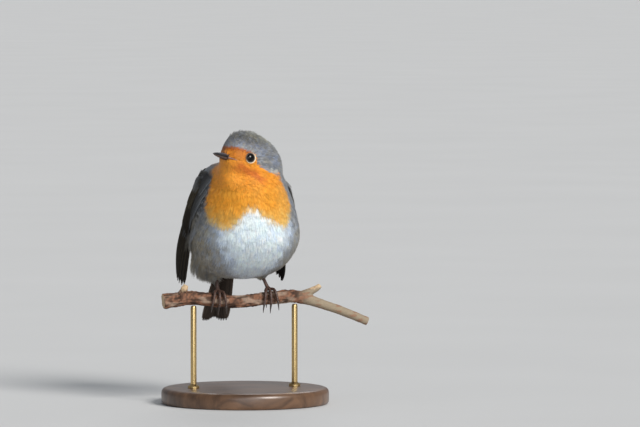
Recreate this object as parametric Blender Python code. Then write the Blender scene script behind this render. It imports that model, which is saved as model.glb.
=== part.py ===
"""European robin, life size, gripping a short cut length of branch on a plain display stand.

Metres, +Z up. The bird's body faces -Y, so its left side is +X, and its head is turned to its right.
The origin is the centre of the stand's underside. Sizes below are in millimetres and angles in degrees;
mm() and placed() turn them into metres. Heights marked "above the perch" are measured from the axis of
the branch where the bird sits.
"""

import math
from bisect import bisect_right

import bmesh
import bpy
from mathutils import Matrix, Vector
from mathutils.bvhtree import BVHTree

MM = 0.001
GAP = 0.3  # space between neighbouring pieces

# Stand and perch
PERCH_HEIGHT = 52.0
BASE_RADIUS = 42.0
BASE_HEIGHT = 8.0
BASE_EDGE = 1.2
ROD_RADIUS = 1.5
ROD_PLACES = {"left": 25.5, "right": -26.5}
BRANCH_RADIUS = 3.3
TWIG_RADIUS = 2.3

# The branch's own bends, as (x, y, height above the perch, radius)
BRANCH_BENDS = [
    (-42, 1.2, -0.4, 3.9),
    (-34, 0.8, 0.7, 3.6),
    (-27, 0.3, 1.2, 3.4),
    (-14, 0.0, -0.2, 3.3),
    (-2, 0.0, -0.9, 3.15),
    (13, 0.0, 0.6, 3.25),
    (23, -0.3, 1.3, 3.3),
    (29, -0.6, 0.6, 3.1),
    (38, -1.2, -2.4, 2.5),
    (50, -1.8, -6.6, 2.3),
    (63, -2.2, -12.0, 2.2),
]
STUMP = [(24, -0.4, 0.9, 2.2), (31, -0.9, 2.6, 2.0), (36.5, -1.3, 5.0, 1.7), (38.6, -1.5, 6.6, 1.2)]
KNOT = [(-31, -0.4, 1.5, 2.2), (-31.3, -1.9, 4.6, 1.7), (-30.7, -2.6, 6.6, 1.3)]

# Trunk, slice by slice from the belly to the shoulders:
# (height above the perch, half width, y of the breast, y of the widest place, y of the back)
TRUNK = [
    (10.4, 5.0, 0.0, 5, 10.0),
    (11.6, 11.2, -6.0, 5, 15.0),
    (14.0, 16.9, -12.0, 4.5, 19.0),
    (19.0, 22.6, -18.5, 3.5, 23.5),
    (27.0, 26.8, -25.0, 1.5, 27.0),
    (34.0, 27.6, -28.0, 0, 27.5),
    (42.0, 27.0, -29.4, 0, 25.5),
    (50.0, 25.6, -28.8, 1, 22.5),
    (57.0, 23.6, -27.0, 3, 20.0),
    (62.0, 22.0, -24.6, 4.5, 17.2),
    (66.5, 18.6, -21.0, 4, 11.8),
    (69.3, 12.5, -15.0, 2, 7.4),
    (70.4, 5.0, -8.0, 0, 5.0),
]
# How much narrower the bird's left side is, by height above the perch: that wing is buried in plumage
LEFT_TRIM = [(10, 0.0), (30, 0.0), (38, 0.6), (46, 1.6), (54, 2.4), (60, 2.6), (66.5, 1.6), (71, 0.5)]
# How much wider its right side is, low on the flank, where the loose feathers hang over the leg
RIGHT_SWELL = [(10, 1.2), (11.6, 2.4), (13, 3.4), (15, 3.6), (18.2, 2.5), (23, 1.4), (28, 0.4), (33, 0), (71, 0)]
TRUNK_SLICES = 26
TRUNK_SIDES = 40

# Throat, between the turned chin and the breast: (height above the perch, x, y, radius)
THROAT = [
    (48, -5.6, -14.6, 8.2),
    (52, -6.2, -15.0, 9.4),
    (57, -7.8, -15.1, 9.6),
    (62, -9.2, -14.2, 8.4),
    (66, -9.6, -13.2, 7.8),
    (69, -9.4, -12.4, 6.6),
]
THROAT_SLICES = 12

# Head, in its own frame at the point midway between the eyes: forward, to its left and up
HEAD_PLACE = (-7.6, -16.0, 71.8)  # the last number is above the perch
HEAD_TURN = 60.0
HEAD_LIFT = 14.0
# (forward, half width, top, height of the widest place, underside)
HEAD = [
    (9.0, 2.4, 2.6, -1.7, -3.8),
    (8.4, 4.4, 6.2, -1.8, -5.0),
    (6.9, 6.5, 9.6, -1.9, -6.8),
    (4.3, 8.2, 12.2, -1.9, -8.9),
    (0.5, 9.8, 13.5, -1.8, -11.0),
    (-4.5, 11.6, 14.1, -2.0, -13.0),
    (-9.5, 13.0, 13.7, -2.5, -14.0),
    (-14.5, 13.4, 12.4, -3.0, -14.0),
    (-19.5, 12.2, 9.9, -3.5, -13.0),
    (-23.5, 9.0, 5.2, -4.0, -11.0),
    (-25.8, 4.2, 0.8, -4.0, -8.0),
]
HEAD_RINGS = 24
HEAD_SIDES = 36

EYE_RADIUS = 3.3
EYE_PLACE = (-0.4, 6.95, 0.0)

BILL_TIP = 17.4
BILL_REST = -1.85  # height of the line where the two halves of the bill meet, at the tip
BILL_RISE = 0.015  # how much it rises for each millimetre towards the face
# (forward, half width, height above the closing line)
UPPER_BILL = [
    (5.2, 2.8, 1.4),
    (8.0, 2.3, 1.85),
    (10.4, 1.85, 1.75),
    (13.0, 1.32, 1.42),
    (15.4, 0.82, 0.98),
    (16.9, 0.42, 0.53),
    (17.4, 0.22, 0.30),
]
LOWER_BILL = [
    (5.2, 2.7, 1.0),
    (8.0, 2.15, 1.4),
    (10.4, 1.7, 1.25),
    (13.0, 1.12, 0.95),
    (15.2, 0.66, 0.62),
    (16.7, 0.28, 0.28),
]

# Tail, from its root under the rump to its tip
TAIL_ROOT = (-0.3, 27.0, 31.0)
TAIL_TIP = (-2.0, 58.3, -14.2)
TAIL_START = 17.5  # distance from the root where the coverts end and the feathers show
TAIL_THICK = 1.3
TAIL_NOTCH = 1.8
TAIL_ROOF = 0.22
# (distance from the root, half width, half thickness) of the feathered rump round the tail's root
RUMP = [(-15, 13, 5), (-6, 14.5, 7.5), (3, 12.4, 8.2), (10, 8.8, 5.6), (15, 6.5, 3.4), (17, 5.7, 2.4)]

# Wings: side view of the folded wing, along its length from the shoulder to the tip
WING_ROOT = (-2.0, 63.0)  # y and height above the perch
WING_TIP = (26.5, 7.9)
# (share of the length, front edge, back edge, distance from the bird's middle)
WING = [
    (0.00, 0.8, 4.0, 20.3),
    (0.03, -1.3, 7.2, 21.6),
    (0.08, -2.8, 10.3, 23.2),
    (0.20, -4.2, 14.0, 26.3),
    (0.35, -5.4, 16.5, 28.4),
    (0.50, -6.4, 16.8, 29.4),
    (0.65, -6.8, 14.0, 29.9),
    (0.80, -6.4, 9.2, 29.7),
    (0.92, -5.3, 4.4, 28.8),
    (1.00, -3.0, 1.6, 27.9),
]
WING_THICK = 1.4
WING_WRAP = 18.8  # radius of the curve by which the folded wing turns in over the back
# How much closer to the body one wing is held, by share of the length
WING_TUCK = {"left": [(0, 3.6), (0.76, 3.6), (0.9, 1.8), (1, 1.5)], "right": [(0, 0.0), (1, 0.0)]}
WING_CURL = {"left": 0.0, "right": 0.18}  # how much the front edge of one wing turns in under the flank
WING_START = {"left": 0.09, "right": 0.0}  # share of the length where breast feathers stop hiding it
WING_SPLIT = 0.40  # share of the length where the coverts end
FLIGHT_SPLIT = 2.2  # offset that parts the primaries in front from the secondaries behind
SECONDARIES_END = (0.86, 0.70)  # share of the length where they end, in front and at the back

# Legs
LEG_SPREAD = {"left": 12.0, "right": -14.0}
LEG_FOOT = 4.9  # height above the perch where the leg meets the toes
LEG_SLANT = {"left": -0.34, "right": 0.0}  # sideways lean for each millimetre above the foot
THIGH = [(18.0, 5.2), (13.8, 4.4), (11.4, 3.0), (10.0, 1.9)]  # (height above the perch, radius)
THIGH_BACK = 3.5
TARSUS_RADIUS = 0.95
KNUCKLE = (2.3, 1.15)  # half width and half thickness of the foot's root
TOE_RADIUS = 0.72
TOE_SPREAD = 1.85
# (name, place across the foot, splay, how far it wraps round the perch)
FRONT_TOES = [("inner", -1, -8.0, 116.0), ("middle", 0, 2.0, 132.0), ("outer", 1, 12.0, 110.0)]
HIND_TOE_WRAP = 96.0
CLAW_RADIUS = 0.55
CLAW_LENGTH = 4.6

COLOURS = {
    "crown": ((0.30, 0.29, 0.24), 0.85, 0.0),
    "orange": ((0.80, 0.30, 0.04), 0.85, 0.0),
    "white": ((0.74, 0.75, 0.76), 0.88, 0.0),
    "back": ((0.20, 0.17, 0.11), 0.85, 0.0),
    "flight": ((0.085, 0.062, 0.045), 0.70, 0.0),
    "bill": ((0.035, 0.030, 0.032), 0.40, 0.0),
    "eye": ((0.008, 0.006, 0.006), 0.06, 0.0),
    "leg": ((0.14, 0.075, 0.055), 0.55, 0.0),
    "claw": ((0.05, 0.035, 0.030), 0.45, 0.0),
    "bark": ((0.26, 0.13, 0.075), 0.90, 0.0),
    "base": ((0.10, 0.055, 0.030), 0.45, 0.0),
    "rod": ((0.62, 0.47, 0.25), 0.30, 1.0),
}


def mm(x, y, z):
    """A point in metres from millimetres, with the height counted from the stand's underside."""
    return Vector((x, y, z)) * MM


def above_perch(x, y, height):
    """A point in metres whose height is counted from the perch's axis."""
    return mm(x, y, PERCH_HEIGHT + height)


def along(table, at):
    """The sizes at one place, on a smooth curve through a table whose rows start with their place."""
    rows = sorted(table)
    keys = [row[0] for row in rows]
    i = max(0, min(len(keys) - 2, bisect_right(keys, at) - 1))
    span = keys[i + 1] - keys[i]
    t = (at - keys[i]) / span

    def slope(k, column):
        a, b = max(k - 1, 0), min(k + 1, len(rows) - 1)
        return (rows[b][column] - rows[a][column]) / (keys[b] - keys[a])

    found = []
    for column in range(1, len(rows[0])):
        v0, v1 = rows[i][column], rows[i + 1][column]
        m0, m1 = slope(i, column) * span, slope(i + 1, column) * span
        found.append(
            v0 * (1 + 2 * t) * (1 - t) ** 2
            + m0 * t * (1 - t) ** 2
            + v1 * t * t * (3 - 2 * t)
            - m1 * t * t * (1 - t)
        )
    return found


def spaced(start, end, count):
    return [start + (end - start) * i / (count - 1) for i in range(count)]


def material(name):
    """A plain Principled finish of one of the COLOURS."""
    if name in bpy.data.materials:
        return bpy.data.materials[name]
    rgb, roughness, metallic = COLOURS[name]
    made = bpy.data.materials.new(name)
    made.use_nodes = True
    made.diffuse_color = (*rgb, 1)
    shader = made.node_tree.nodes["Principled BSDF"]
    shader.inputs["Base Color"].default_value = (*rgb, 1)
    shader.inputs["Roughness"].default_value = roughness
    shader.inputs["Metallic"].default_value = metallic
    return made


def add_object(name, bm, finish, origin=None, smooth=True):
    """Turns a bmesh into a named object with its material, and its origin at a point of the bird."""
    bmesh.ops.recalc_face_normals(bm, faces=bm.faces)
    if origin is not None:
        bmesh.ops.translate(bm, verts=bm.verts, vec=-origin)
    mesh = bpy.data.meshes.new(name)
    bm.to_mesh(mesh)
    bm.free()
    if smooth:
        mesh.shade_smooth()
        mesh.set_sharp_from_angle(angle=math.radians(50))
    mesh.materials.append(material(finish))
    made = bpy.data.objects.new(name, mesh)
    made.location = origin or Vector()
    bpy.context.scene.collection.objects.link(made)
    return made


def loft(rings):
    """A closed bmesh through rings of points, each bridged to the next and the end rings filled."""
    bm = bmesh.new()
    loops = []
    for ring in rings:
        verts = [bm.verts.new(p) for p in ring]
        loops.append([bm.edges.new((v, verts[i - 1])) for i, v in enumerate(verts)])
    for near, far in zip(loops, loops[1:]):
        bmesh.ops.bridge_loops(bm, edges=near + far)
    for end in (loops[0], loops[-1]):
        bmesh.ops.edgeloop_fill(bm, edges=end)
    return bm


def oval(centre, across, up, half_width, top, bottom, sides):
    """A ring of points whose upper and lower halves have their own heights."""
    points = []
    for k in range(sides):
        a = 2 * math.pi * k / sides
        rise = top if math.sin(a) > 0 else bottom
        points.append(centre + across * half_width * math.cos(a) + up * rise * math.sin(a))
    return points


def tube(path, radii, sides, flat=1.0, across=None):
    """A loft of round rings along a path; flat squashes them at right angles to across."""
    rings = []
    for i, p in enumerate(path):
        run = (path[min(i + 1, len(path) - 1)] - path[max(i - 1, 0)]).normalized()
        side = (across or Vector((1, 0, 0))).copy()
        side = (side - run * side.dot(run)).normalized()
        rings.append(oval(p, side, run.cross(side), radii[i], radii[i] * flat, radii[i] * flat, sides))
    return loft(rings)


def path_of(bends, count):
    """Points and radii along a smooth bend through (x, y, height, radius) rows."""
    keyed = [(i, *row) for i, row in enumerate(bends)]
    found = [along(keyed, k) for k in spaced(0, len(bends) - 1, count)]
    return [above_perch(*row[:3]) for row in found], [row[3] * MM for row in found]


def modifier(obj, name, kind, **settings):
    made = obj.modifiers.new(name, kind)
    for key, value in settings.items():
        setattr(made, key, value)
    return made


def evaluated(obj):
    """The object's mesh after its modifiers, as a bmesh."""
    bpy.context.view_layer.update()
    bm = bmesh.new()
    bm.from_object(obj, bpy.context.evaluated_depsgraph_get())
    return bm


def as_cutter(obj):
    obj.hide_render = True
    obj.display_type = "WIRE"
    return obj


def subtract(obj, cutter, name):
    modifier(obj, name, "BOOLEAN", operation="DIFFERENCE", solver="EXACT", object=cutter)


# The head's own axes
TURN, LIFT = math.radians(HEAD_TURN), math.radians(HEAD_LIFT)
HEAD_FORWARD = Vector(
    (-math.sin(TURN) * math.cos(LIFT), -math.cos(TURN) * math.cos(LIFT), math.sin(LIFT))
)
HEAD_LEFT = Vector((math.cos(TURN), -math.sin(TURN), 0))
HEAD_UP = HEAD_FORWARD.cross(HEAD_LEFT)


def in_head(forward, left, up):
    """A point in metres from the head's own axes."""
    return above_perch(*HEAD_PLACE) + (HEAD_FORWARD * forward + HEAD_LEFT * left + HEAD_UP * up) * MM


def trunk_form():
    rings = []
    for height in spaced(TRUNK[0][0], TRUNK[-1][0], TRUNK_SLICES):
        half_width, front, widest, back = along(TRUNK, height)
        centre = above_perch(0, widest, height)
        x, y = Vector((MM, 0, 0)), Vector((0, MM, 0))
        ring = oval(centre, x, y, half_width, back - widest, widest - front, TRUNK_SIDES)
        on_left = 1 - along(LEFT_TRIM, height)[0] / half_width
        on_right = 1 + along(RIGHT_SWELL, height)[0] / half_width
        rings.append([Vector((p.x * (on_left if p.x > 0 else on_right), p.y, p.z)) for p in ring])
    return loft(rings)


def throat_form():
    """The full throat, which fills the fold between the turned chin and the breast."""
    rings = []
    for height in spaced(THROAT[0][0], THROAT[-1][0], THROAT_SLICES):
        x, y, radius = along(THROAT, height)
        centre = above_perch(x, y, height)
        rings.append(oval(centre, Vector((MM, 0, 0)), Vector((0, MM, 0)), radius, radius, radius, 24))
    return loft(rings)


def head_form():
    rings = []
    for forward in spaced(HEAD[0][0], HEAD[-1][0], HEAD_RINGS):
        half_width, top, widest, bottom = along(HEAD, forward)
        centre = in_head(forward, 0, widest)
        left, up = HEAD_LEFT * MM, HEAD_UP * MM
        rings.append(oval(centre, left, up, half_width, top - widest, widest - bottom, HEAD_SIDES))
    return loft(rings)


def tail_axes():
    run = (above_perch(*TAIL_TIP) - above_perch(*TAIL_ROOT)).normalized()
    across = Vector((1, 0, 0))
    return run, across, across.cross(run)


def rump_form():
    run, across, up = tail_axes()
    rings = []
    for at in spaced(RUMP[0][0], RUMP[-1][0], 12):
        half_width, half_thick = along(RUMP, at)
        centre = above_perch(*TAIL_ROOT) + run * at * MM
        rings.append(oval(centre, across * MM, up * MM, half_width, half_thick, half_thick, 24))
    return loft(rings)


def joined_flesh(name, voxel, kept):
    """Trunk, throat, head and rump as one smooth closed skin, with a share of a fine grid's faces kept."""
    whole = bmesh.new()
    for form in (trunk_form(), throat_form(), head_form(), rump_form()):
        bmesh.ops.recalc_face_normals(form, faces=form.faces)
        mesh = bpy.data.meshes.new(name)
        form.to_mesh(mesh)
        form.free()
        whole.from_mesh(mesh)
        bpy.data.meshes.remove(mesh)
    obj = add_object(name, whole, "white")
    modifier(obj, "one_skin", "REMESH", mode="VOXEL", voxel_size=voxel * MM)
    modifier(obj, "soften", "SMOOTH", factor=0.5, iterations=3)
    modifier(obj, "thin_out", "DECIMATE", ratio=kept)
    bm = evaluated(obj)
    bpy.data.objects.remove(obj)
    return bm


def part_off(bm, cuts):
    """What is left of a closed bmesh inside a set of planes, each a point and an outward normal."""
    for point, normal in cuts:
        everything = bm.verts[:] + bm.edges[:] + bm.faces[:]
        inset = point - normal.normalized() * GAP / 2 * MM
        bmesh.ops.bisect_plane(
            bm, geom=everything, plane_co=inset, plane_no=normal, clear_outer=True, dist=1e-7
        )
        rim = [e for e in bm.edges if e.is_boundary]
        bmesh.ops.holes_fill(bm, edges=rim, sides=0)
    return bm


def flesh_cuts():
    """The planes that part the head, neck, breast, belly, back and rump."""
    run = tail_axes()[0]
    return {
        "head": (above_perch(0, -9, 61.5), Vector((0.10, -0.18, 1.0))),
        "neck": (above_perch(0, -4, 53.5), Vector((0.0, -0.30, 1.0))),
        "breast": (above_perch(0, -28, 36.5), Vector((0.0, 0.35, 1.0))),
        "back": (above_perch(0, 12.5, 45), Vector((0.0, 1.0, 0.18))),
        "rump": (above_perch(*TAIL_ROOT) - run * 3.5 * MM, run),
    }


def make_flesh():
    """The feathered body, modelled whole and parted by thin plane cuts."""
    planes = flesh_cuts()
    fine = joined_flesh("fine_flesh", 1.6, 0.42)
    coarse = joined_flesh("coarse_flesh", 2.4, 0.30)

    def side(name, outward):
        point, normal = planes[name]
        return (point, normal if outward else -normal)

    below_head, above_head = side("head", True), side("head", False)
    below_neck, above_neck = side("neck", True), side("neck", False)
    below_breast, above_breast = side("breast", True), side("breast", False)
    front, behind = side("back", True), side("back", False)
    before_rump, past_rump = side("rump", True), side("rump", False)
    pieces = [
        ("head", fine, "crown", [above_head]),
        ("neck", coarse, "orange", [below_head, above_neck]),
        ("breast", coarse, "orange", [below_neck, front, above_breast, before_rump]),
        ("belly", coarse, "white", [below_neck, front, below_breast, before_rump]),
        ("back", coarse, "back", [below_neck, behind, before_rump]),
        ("rump", coarse, "back", [past_rump]),
    ]
    made = {}
    for name, source, finish, cuts in pieces:
        origin = planes.get(name, planes["neck"])[0]
        made[name] = add_object(name, part_off(source.copy(), cuts), finish, origin)
    body = BVHTree.FromBMesh(coarse)
    fine.free()
    coarse.free()
    return made, body


def eye_sphere(name, radius, side):
    forward, left, up = EYE_PLACE
    centre = in_head(forward, left * side, up)
    bm = bmesh.new()
    bmesh.ops.create_icosphere(bm, subdivisions=3, radius=radius * MM, matrix=Matrix.Translation(centre))
    return add_object(name, bm, "eye", centre)


def bill_half(table, rise_sign, swell):
    """Half of the closed bill: flat on the closing line, arched on the other side."""
    rings = []
    for forward in spaced(table[0][0], table[-1][0], 12):
        half_width, height = along(table, forward)
        closing = BILL_REST + BILL_RISE * (BILL_TIP - forward)
        ring = []
        for k in range(12):
            a = 2 * math.pi * k / 12
            arch = height + swell if math.sin(a) > 0 else -GAP / 2 + swell
            up = closing + rise_sign * arch * abs(math.sin(a)) ** 0.9 * (1 if math.sin(a) > 0 else -1)
            if math.sin(a) <= 0:
                up = closing + rise_sign * (GAP / 2 - swell)
            ring.append(in_head(forward, (half_width + swell) * math.cos(a), up))
        rings.append(ring)
    return loft(rings)


def make_head_parts(head):
    """Eyes in their sockets and the two halves of the bill in theirs."""
    for side_name, side in (("left", 1), ("right", -1)):
        eye_sphere(f"eye_{side_name}", EYE_RADIUS, side)
        socket = as_cutter(eye_sphere(f"socket_{side_name}", EYE_RADIUS + GAP, side))
        subtract(head, socket, f"socket_{side_name}")
    for name, table, sign in (("upper", UPPER_BILL, 1), ("lower", LOWER_BILL, -1)):
        hinge = in_head(table[0][0], 0, BILL_REST)
        add_object(f"bill_{name}", bill_half(table, sign, 0.0), "bill", hinge)
        seat = as_cutter(add_object(f"seat_{name}", bill_half(table, sign, GAP), "bill", hinge))
        subtract(head, seat, f"seat_{name}")


def sheet(name, columns, rows, place, thick, origin):
    """A plate of feathers: a grid that runs 0 to 1 both ways, each corner put in place, then thickened."""
    bm = bmesh.new()
    bmesh.ops.create_grid(bm, x_segments=columns, y_segments=rows, size=0.5)
    for v in bm.verts:
        v.co = place(v.co.x + 0.5, v.co.y + 0.5)
    obj = add_object(name, bm, "flight", origin, smooth=False)
    modifier(obj, "thickness", "SOLIDIFY", thickness=thick * MM, offset=0.0, use_even_offset=True)
    return obj


def make_tail():
    """The two halves of the closed tail, a shallow roof with a notched tip."""
    run, across, up = tail_axes()
    root = above_perch(*TAIL_ROOT)
    length = (above_perch(*TAIL_TIP) - root).length / MM
    for name, side in (("left", 1), ("right", -1)):

        def place(u, s, side=side):
            out = u * (5.0 + 2.6 * s) + GAP / 2
            round_tip = 1.6 * max(0.0, u - 0.72) / 0.28
            reach = length - TAIL_NOTCH * (1 - min(1.0, u / 0.55)) - round_tip**2
            at = TAIL_START + GAP + (reach - TAIL_START - GAP) * s
            return root + (run * at + across * side * out - up * TAIL_ROOF * out) * MM

        sheet(f"tail_{name}", 5, 8, place, TAIL_THICK, root)


def wing_point(body, name, share, offset):
    """A point of the folded wing's middle surface, which lies on the body or hangs beside it."""
    side = 1 if name == "left" else -1
    (y0, z0), (y1, z1) = WING_ROOT, WING_TIP
    length = math.hypot(y1 - y0, z1 - z0)
    ry, rz = (y1 - y0) / length, (z1 - z0) / length
    at = length * share
    y, z = y0 + ry * at - rz * offset, z0 + rz * at + ry * offset
    turn = min(0.985, max(0.0, offset / WING_WRAP))
    reach = (along(WING, share)[2] - along(WING_TUCK[name], share)[0]) * math.sqrt(1 - turn * turn)
    before = max(0.0, -offset)
    reach -= 0.03 * before**2 + WING_CURL[name] * before
    hit, facing, _, _ = body.ray_cast(above_perch(side * 60, y, z), Vector((-side, 0, 0)))
    if hit:
        clear = (WING_THICK / 2 + 2 * GAP) / max(0.45, abs(facing.x))
        reach = max(reach, abs(hit.x) / MM + clear)
    return above_perch(side * reach, y, z)


def make_wings(body):
    """Each folded wing in three plates: coverts, secondaries with tertials, and primaries."""
    seam = GAP / 120

    def front(share):
        return along(WING, share)[0]

    def back(share):
        return along(WING, share)[1]

    def parting(share):
        return min(FLIGHT_SPLIT, back(share))

    for name in ("left", "right"):

        def plate(part, start, ends, near, far, columns, rows, name=name):
            def place(u, s):
                end = ends[0] + (ends[1] - ends[0]) * u
                share = start + (end - start) * s
                return wing_point(body, name, share, near(share) + (far(share) - near(share)) * u)

            sheet(f"wing_{part}_{name}", columns, rows, place, WING_THICK, wing_point(body, name, start, 0))

        covered, folded = WING_SPLIT - seam, WING_SPLIT + seam
        plate("coverts", WING_START[name], (covered, covered), front, back, 6, 5)
        plate("primaries", folded, (1.0, 1.0), front, lambda s: parting(s) - GAP, 3, 7)
        plate("secondaries", folded, SECONDARIES_END, lambda s: FLIGHT_SPLIT + GAP, back, 5, 5)


def perch_at(x):
    """The perch's axis and radius where a foot grips it."""
    _, y, z, radius = along([(row[0], *row) for row in BRANCH_BENDS], x)
    return y, z, radius


def make_perch():
    """The cut branch: bark-covered limb, bare twig, snapped stump and a broken side shoot."""
    along_y = Vector((0, 1, 0))
    path, radii = path_of(BRANCH_BENDS, 27)
    perch = add_object("perch_branch", tube(path, radii, 11, across=along_y), "bark", above_perch(0, 0, 0))
    for name, bends in (("stump", STUMP), ("shoot", KNOT)):
        path, radii = path_of(bends, 5)
        arm = add_object(f"{name}_form", tube(path, radii, 9, across=along_y), "bark", path[0])
        modifier(perch, name, "BOOLEAN", operation="UNION", solver="EXACT", object=as_cutter(arm))


def make_stand():
    """A turned wooden disc and two thin rods that end just under the perch."""
    bm = bmesh.new()
    middle = Matrix.Translation(mm(0, 0, BASE_HEIGHT / 2))
    bmesh.ops.create_cone(
        bm, cap_ends=True, segments=48, radius1=BASE_RADIUS * MM, radius2=BASE_RADIUS * MM,
        depth=BASE_HEIGHT * MM, matrix=middle,
    )
    rim = [e for e in bm.edges if abs(e.verts[0].co.z - e.verts[1].co.z) < 1e-7]
    top = [e for e in rim if e.verts[0].co.z > BASE_HEIGHT / 2 * MM]
    bmesh.ops.bevel(
        bm, geom=top, offset=BASE_EDGE * MM, offset_type="OFFSET", segments=2, profile=0.5,
        affect="EDGES", material=-1,
    )
    add_object("stand_base", bm, "base")
    for name, x in ROD_PLACES.items():
        y, z, radius = perch_at(x)
        low = BASE_HEIGHT + GAP
        high = PERCH_HEIGHT + z - radius - GAP - 0.3
        path = [mm(x, y, h) for h in spaced(low, high, 2)]
        add_object(f"stand_rod_{name}", tube(path, [ROD_RADIUS * MM] * 2, 20), "rod", path[0])


def toe_path(x, splay, wrap, forward, count):
    """Points round the perch from its top, forward or back, drifting sideways by the splay."""
    _, _, radius = perch_at(x)
    reach = radius + GAP + TOE_RADIUS + 0.25
    points = []
    for a in spaced(14.0, wrap, count):
        turn = math.radians(a)
        drift = math.tan(math.radians(splay)) * reach * turn
        y, z, _ = perch_at(x + drift)
        flare = 0.9 * max(0.0, (a - 95) / 40)
        points.append(
            above_perch(
                x + drift,
                y - forward * (reach + flare) * math.sin(turn),
                z + reach * math.cos(turn),
            )
        )
    return points


def make_foot(name, x):
    """A tarsus down from the thigh, its knuckle on the perch, four toes round the branch and their claws."""
    y, z, radius = perch_at(x)
    toe_root = z + radius + GAP + TOE_RADIUS + 0.25
    hip_height = THIGH[-1][0] - 2.5 * GAP
    hip = above_perch(x + LEG_SLANT[name] * (hip_height - LEG_FOOT), THIGH_BACK, hip_height)
    sole = above_perch(x, y + 0.4, toe_root + 0.15)
    path = [hip.lerp(sole, t) for t in (0.0, 0.35, 0.7, 0.88, 1.0)]
    widths = [TARSUS_RADIUS, TARSUS_RADIUS * 0.95, TARSUS_RADIUS, KNUCKLE[0] * 0.62, KNUCKLE[0] * 0.8]
    add_object(f"tarsus_{name}", tube(path, [w * MM for w in widths], 10, flat=0.72), "leg", sole)

    inward = 1 if x < 0 else -1
    for toe, place, splay, wrap in FRONT_TOES:
        root = x - inward * place * TOE_SPREAD
        curl = toe_path(root, -inward * splay, wrap, 1, 9)
        curl = [p + Vector((0, -1.1 * MM * (1 - i / 8), 0)) for i, p in enumerate(curl)]
        add_toe(f"{toe}_{name}", curl)
    back = toe_path(x, 0.0, HIND_TOE_WRAP, -1, 7)
    back = [p + Vector((0, 1.6 * MM * (1 - i / 6), 0)) for i, p in enumerate(back)]
    add_toe(f"hind_{name}", back)


def add_toe(name, curl):
    """One toe and, past its end, the claw that goes on along the same bend."""
    radii = [TOE_RADIUS * MM * (1.0 - 0.22 * i / (len(curl) - 1)) for i in range(len(curl))]
    add_object(f"toe_{name}", tube(curl, radii, 8), "leg", curl[0])
    run = (curl[-1] - curl[-2]).normalized()
    start = curl[-1] + run * GAP * MM
    bend = Vector((0, 0, -1)) - run * run.dot(Vector((0, 0, -1)))
    claw = []
    for t in spaced(0.0, 1.0, 6):
        claw.append(start + run * CLAW_LENGTH * MM * t + bend * 0.35 * CLAW_LENGTH * MM * t * t)
    sizes = [CLAW_RADIUS * MM * (1.0 - 0.6 * t) for t in spaced(0.0, 1.0, 6)]
    add_object(f"claw_{name}", tube(claw, sizes, 7), "claw", start)


def make_thigh(name, x, flesh):
    """The feathered thigh that shows under the belly, fitted to it with a thin gap."""
    path = [above_perch(x + LEG_SLANT[name] * (height - LEG_FOOT), THIGH_BACK, height) for height, _ in THIGH]
    thigh = add_object(f"thigh_{name}", tube(path, [r * MM for _, r in THIGH], 16), "white", path[-1])
    subtract(thigh, flesh, "fit_to_belly")


def make_legs():
    swollen = joined_flesh("belly_form", 2.4, 0.30)
    for v in swollen.verts:
        v.co += v.normal * GAP * MM
    belly_form = as_cutter(add_object("belly_form", swollen, "white"))
    for name, x in LEG_SPREAD.items():
        make_thigh(name, x, belly_form)
        make_foot(name, x)


def main():
    for obj in list(bpy.data.objects):
        bpy.data.objects.remove(obj)
    flesh, body = make_flesh()
    make_head_parts(flesh["head"])
    make_wings(body)
    make_tail()
    make_perch()
    make_stand()
    make_legs()


main()
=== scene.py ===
# %% [markdown]
# # A European robin, made feather by feather
# The bird's solid parts are already fixed in size and place. This lesson dresses them: one skin under
# the plumage, a coat of real mesh feathers over it, then wings, tail, eyes, bill, feet, branch and stand.
# Everything stays in the frame's own metres, so nothing has to be fitted by eye.

import math

import bmesh
import bpy
import numpy as np
from mathutils import Matrix, Vector, noise
from mathutils.bvhtree import BVHTree
from mathutils.kdtree import KDTree


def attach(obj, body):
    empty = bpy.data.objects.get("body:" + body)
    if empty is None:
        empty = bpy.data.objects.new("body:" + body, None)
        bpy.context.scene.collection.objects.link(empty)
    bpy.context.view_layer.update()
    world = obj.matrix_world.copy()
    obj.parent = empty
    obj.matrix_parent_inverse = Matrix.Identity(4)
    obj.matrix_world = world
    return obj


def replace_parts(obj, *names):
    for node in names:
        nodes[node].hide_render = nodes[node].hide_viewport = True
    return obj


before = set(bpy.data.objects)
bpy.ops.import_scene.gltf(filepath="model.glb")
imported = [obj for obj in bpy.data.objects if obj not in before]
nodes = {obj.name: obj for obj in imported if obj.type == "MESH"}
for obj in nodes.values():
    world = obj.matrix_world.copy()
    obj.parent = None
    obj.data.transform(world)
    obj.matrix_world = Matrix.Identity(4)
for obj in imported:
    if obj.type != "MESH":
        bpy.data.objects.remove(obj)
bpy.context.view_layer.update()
chance = np.random.default_rng(11)
MM = 0.001
PERCH = 52.0

# %% [markdown]
# ## Smooth tables
# Many sizes on a bird change gently along it. A short table of values with a smooth curve through them
# says this better than a formula, and it can be read at a whole array of places at once.


# %% A curve through a table
def curve_through(rows):
    """A smooth function through rows that start with their place; it gives one array for each column."""
    table = np.array(sorted(rows), float)
    keys, values = table[:, 0], table[:, 1:]
    slopes = np.gradient(values, keys, axis=0)

    def read(at):
        at = np.clip(np.asarray(at, float), keys[0], keys[-1])
        i = np.clip(np.searchsorted(keys, at, side="right") - 1, 0, len(keys) - 2)
        span = keys[i + 1] - keys[i]
        t = ((at - keys[i]) / span)[..., None]
        run = span[..., None]
        low, high = values[i], values[i + 1]
        found = low * (1 + 2 * t) * (1 - t) ** 2 + slopes[i] * run * t * (1 - t) ** 2
        found = found + high * t * t * (3 - 2 * t) - slopes[i + 1] * run * t * t * (1 - t)
        return found[..., 0] if values.shape[1] == 1 else found

    return read


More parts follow.
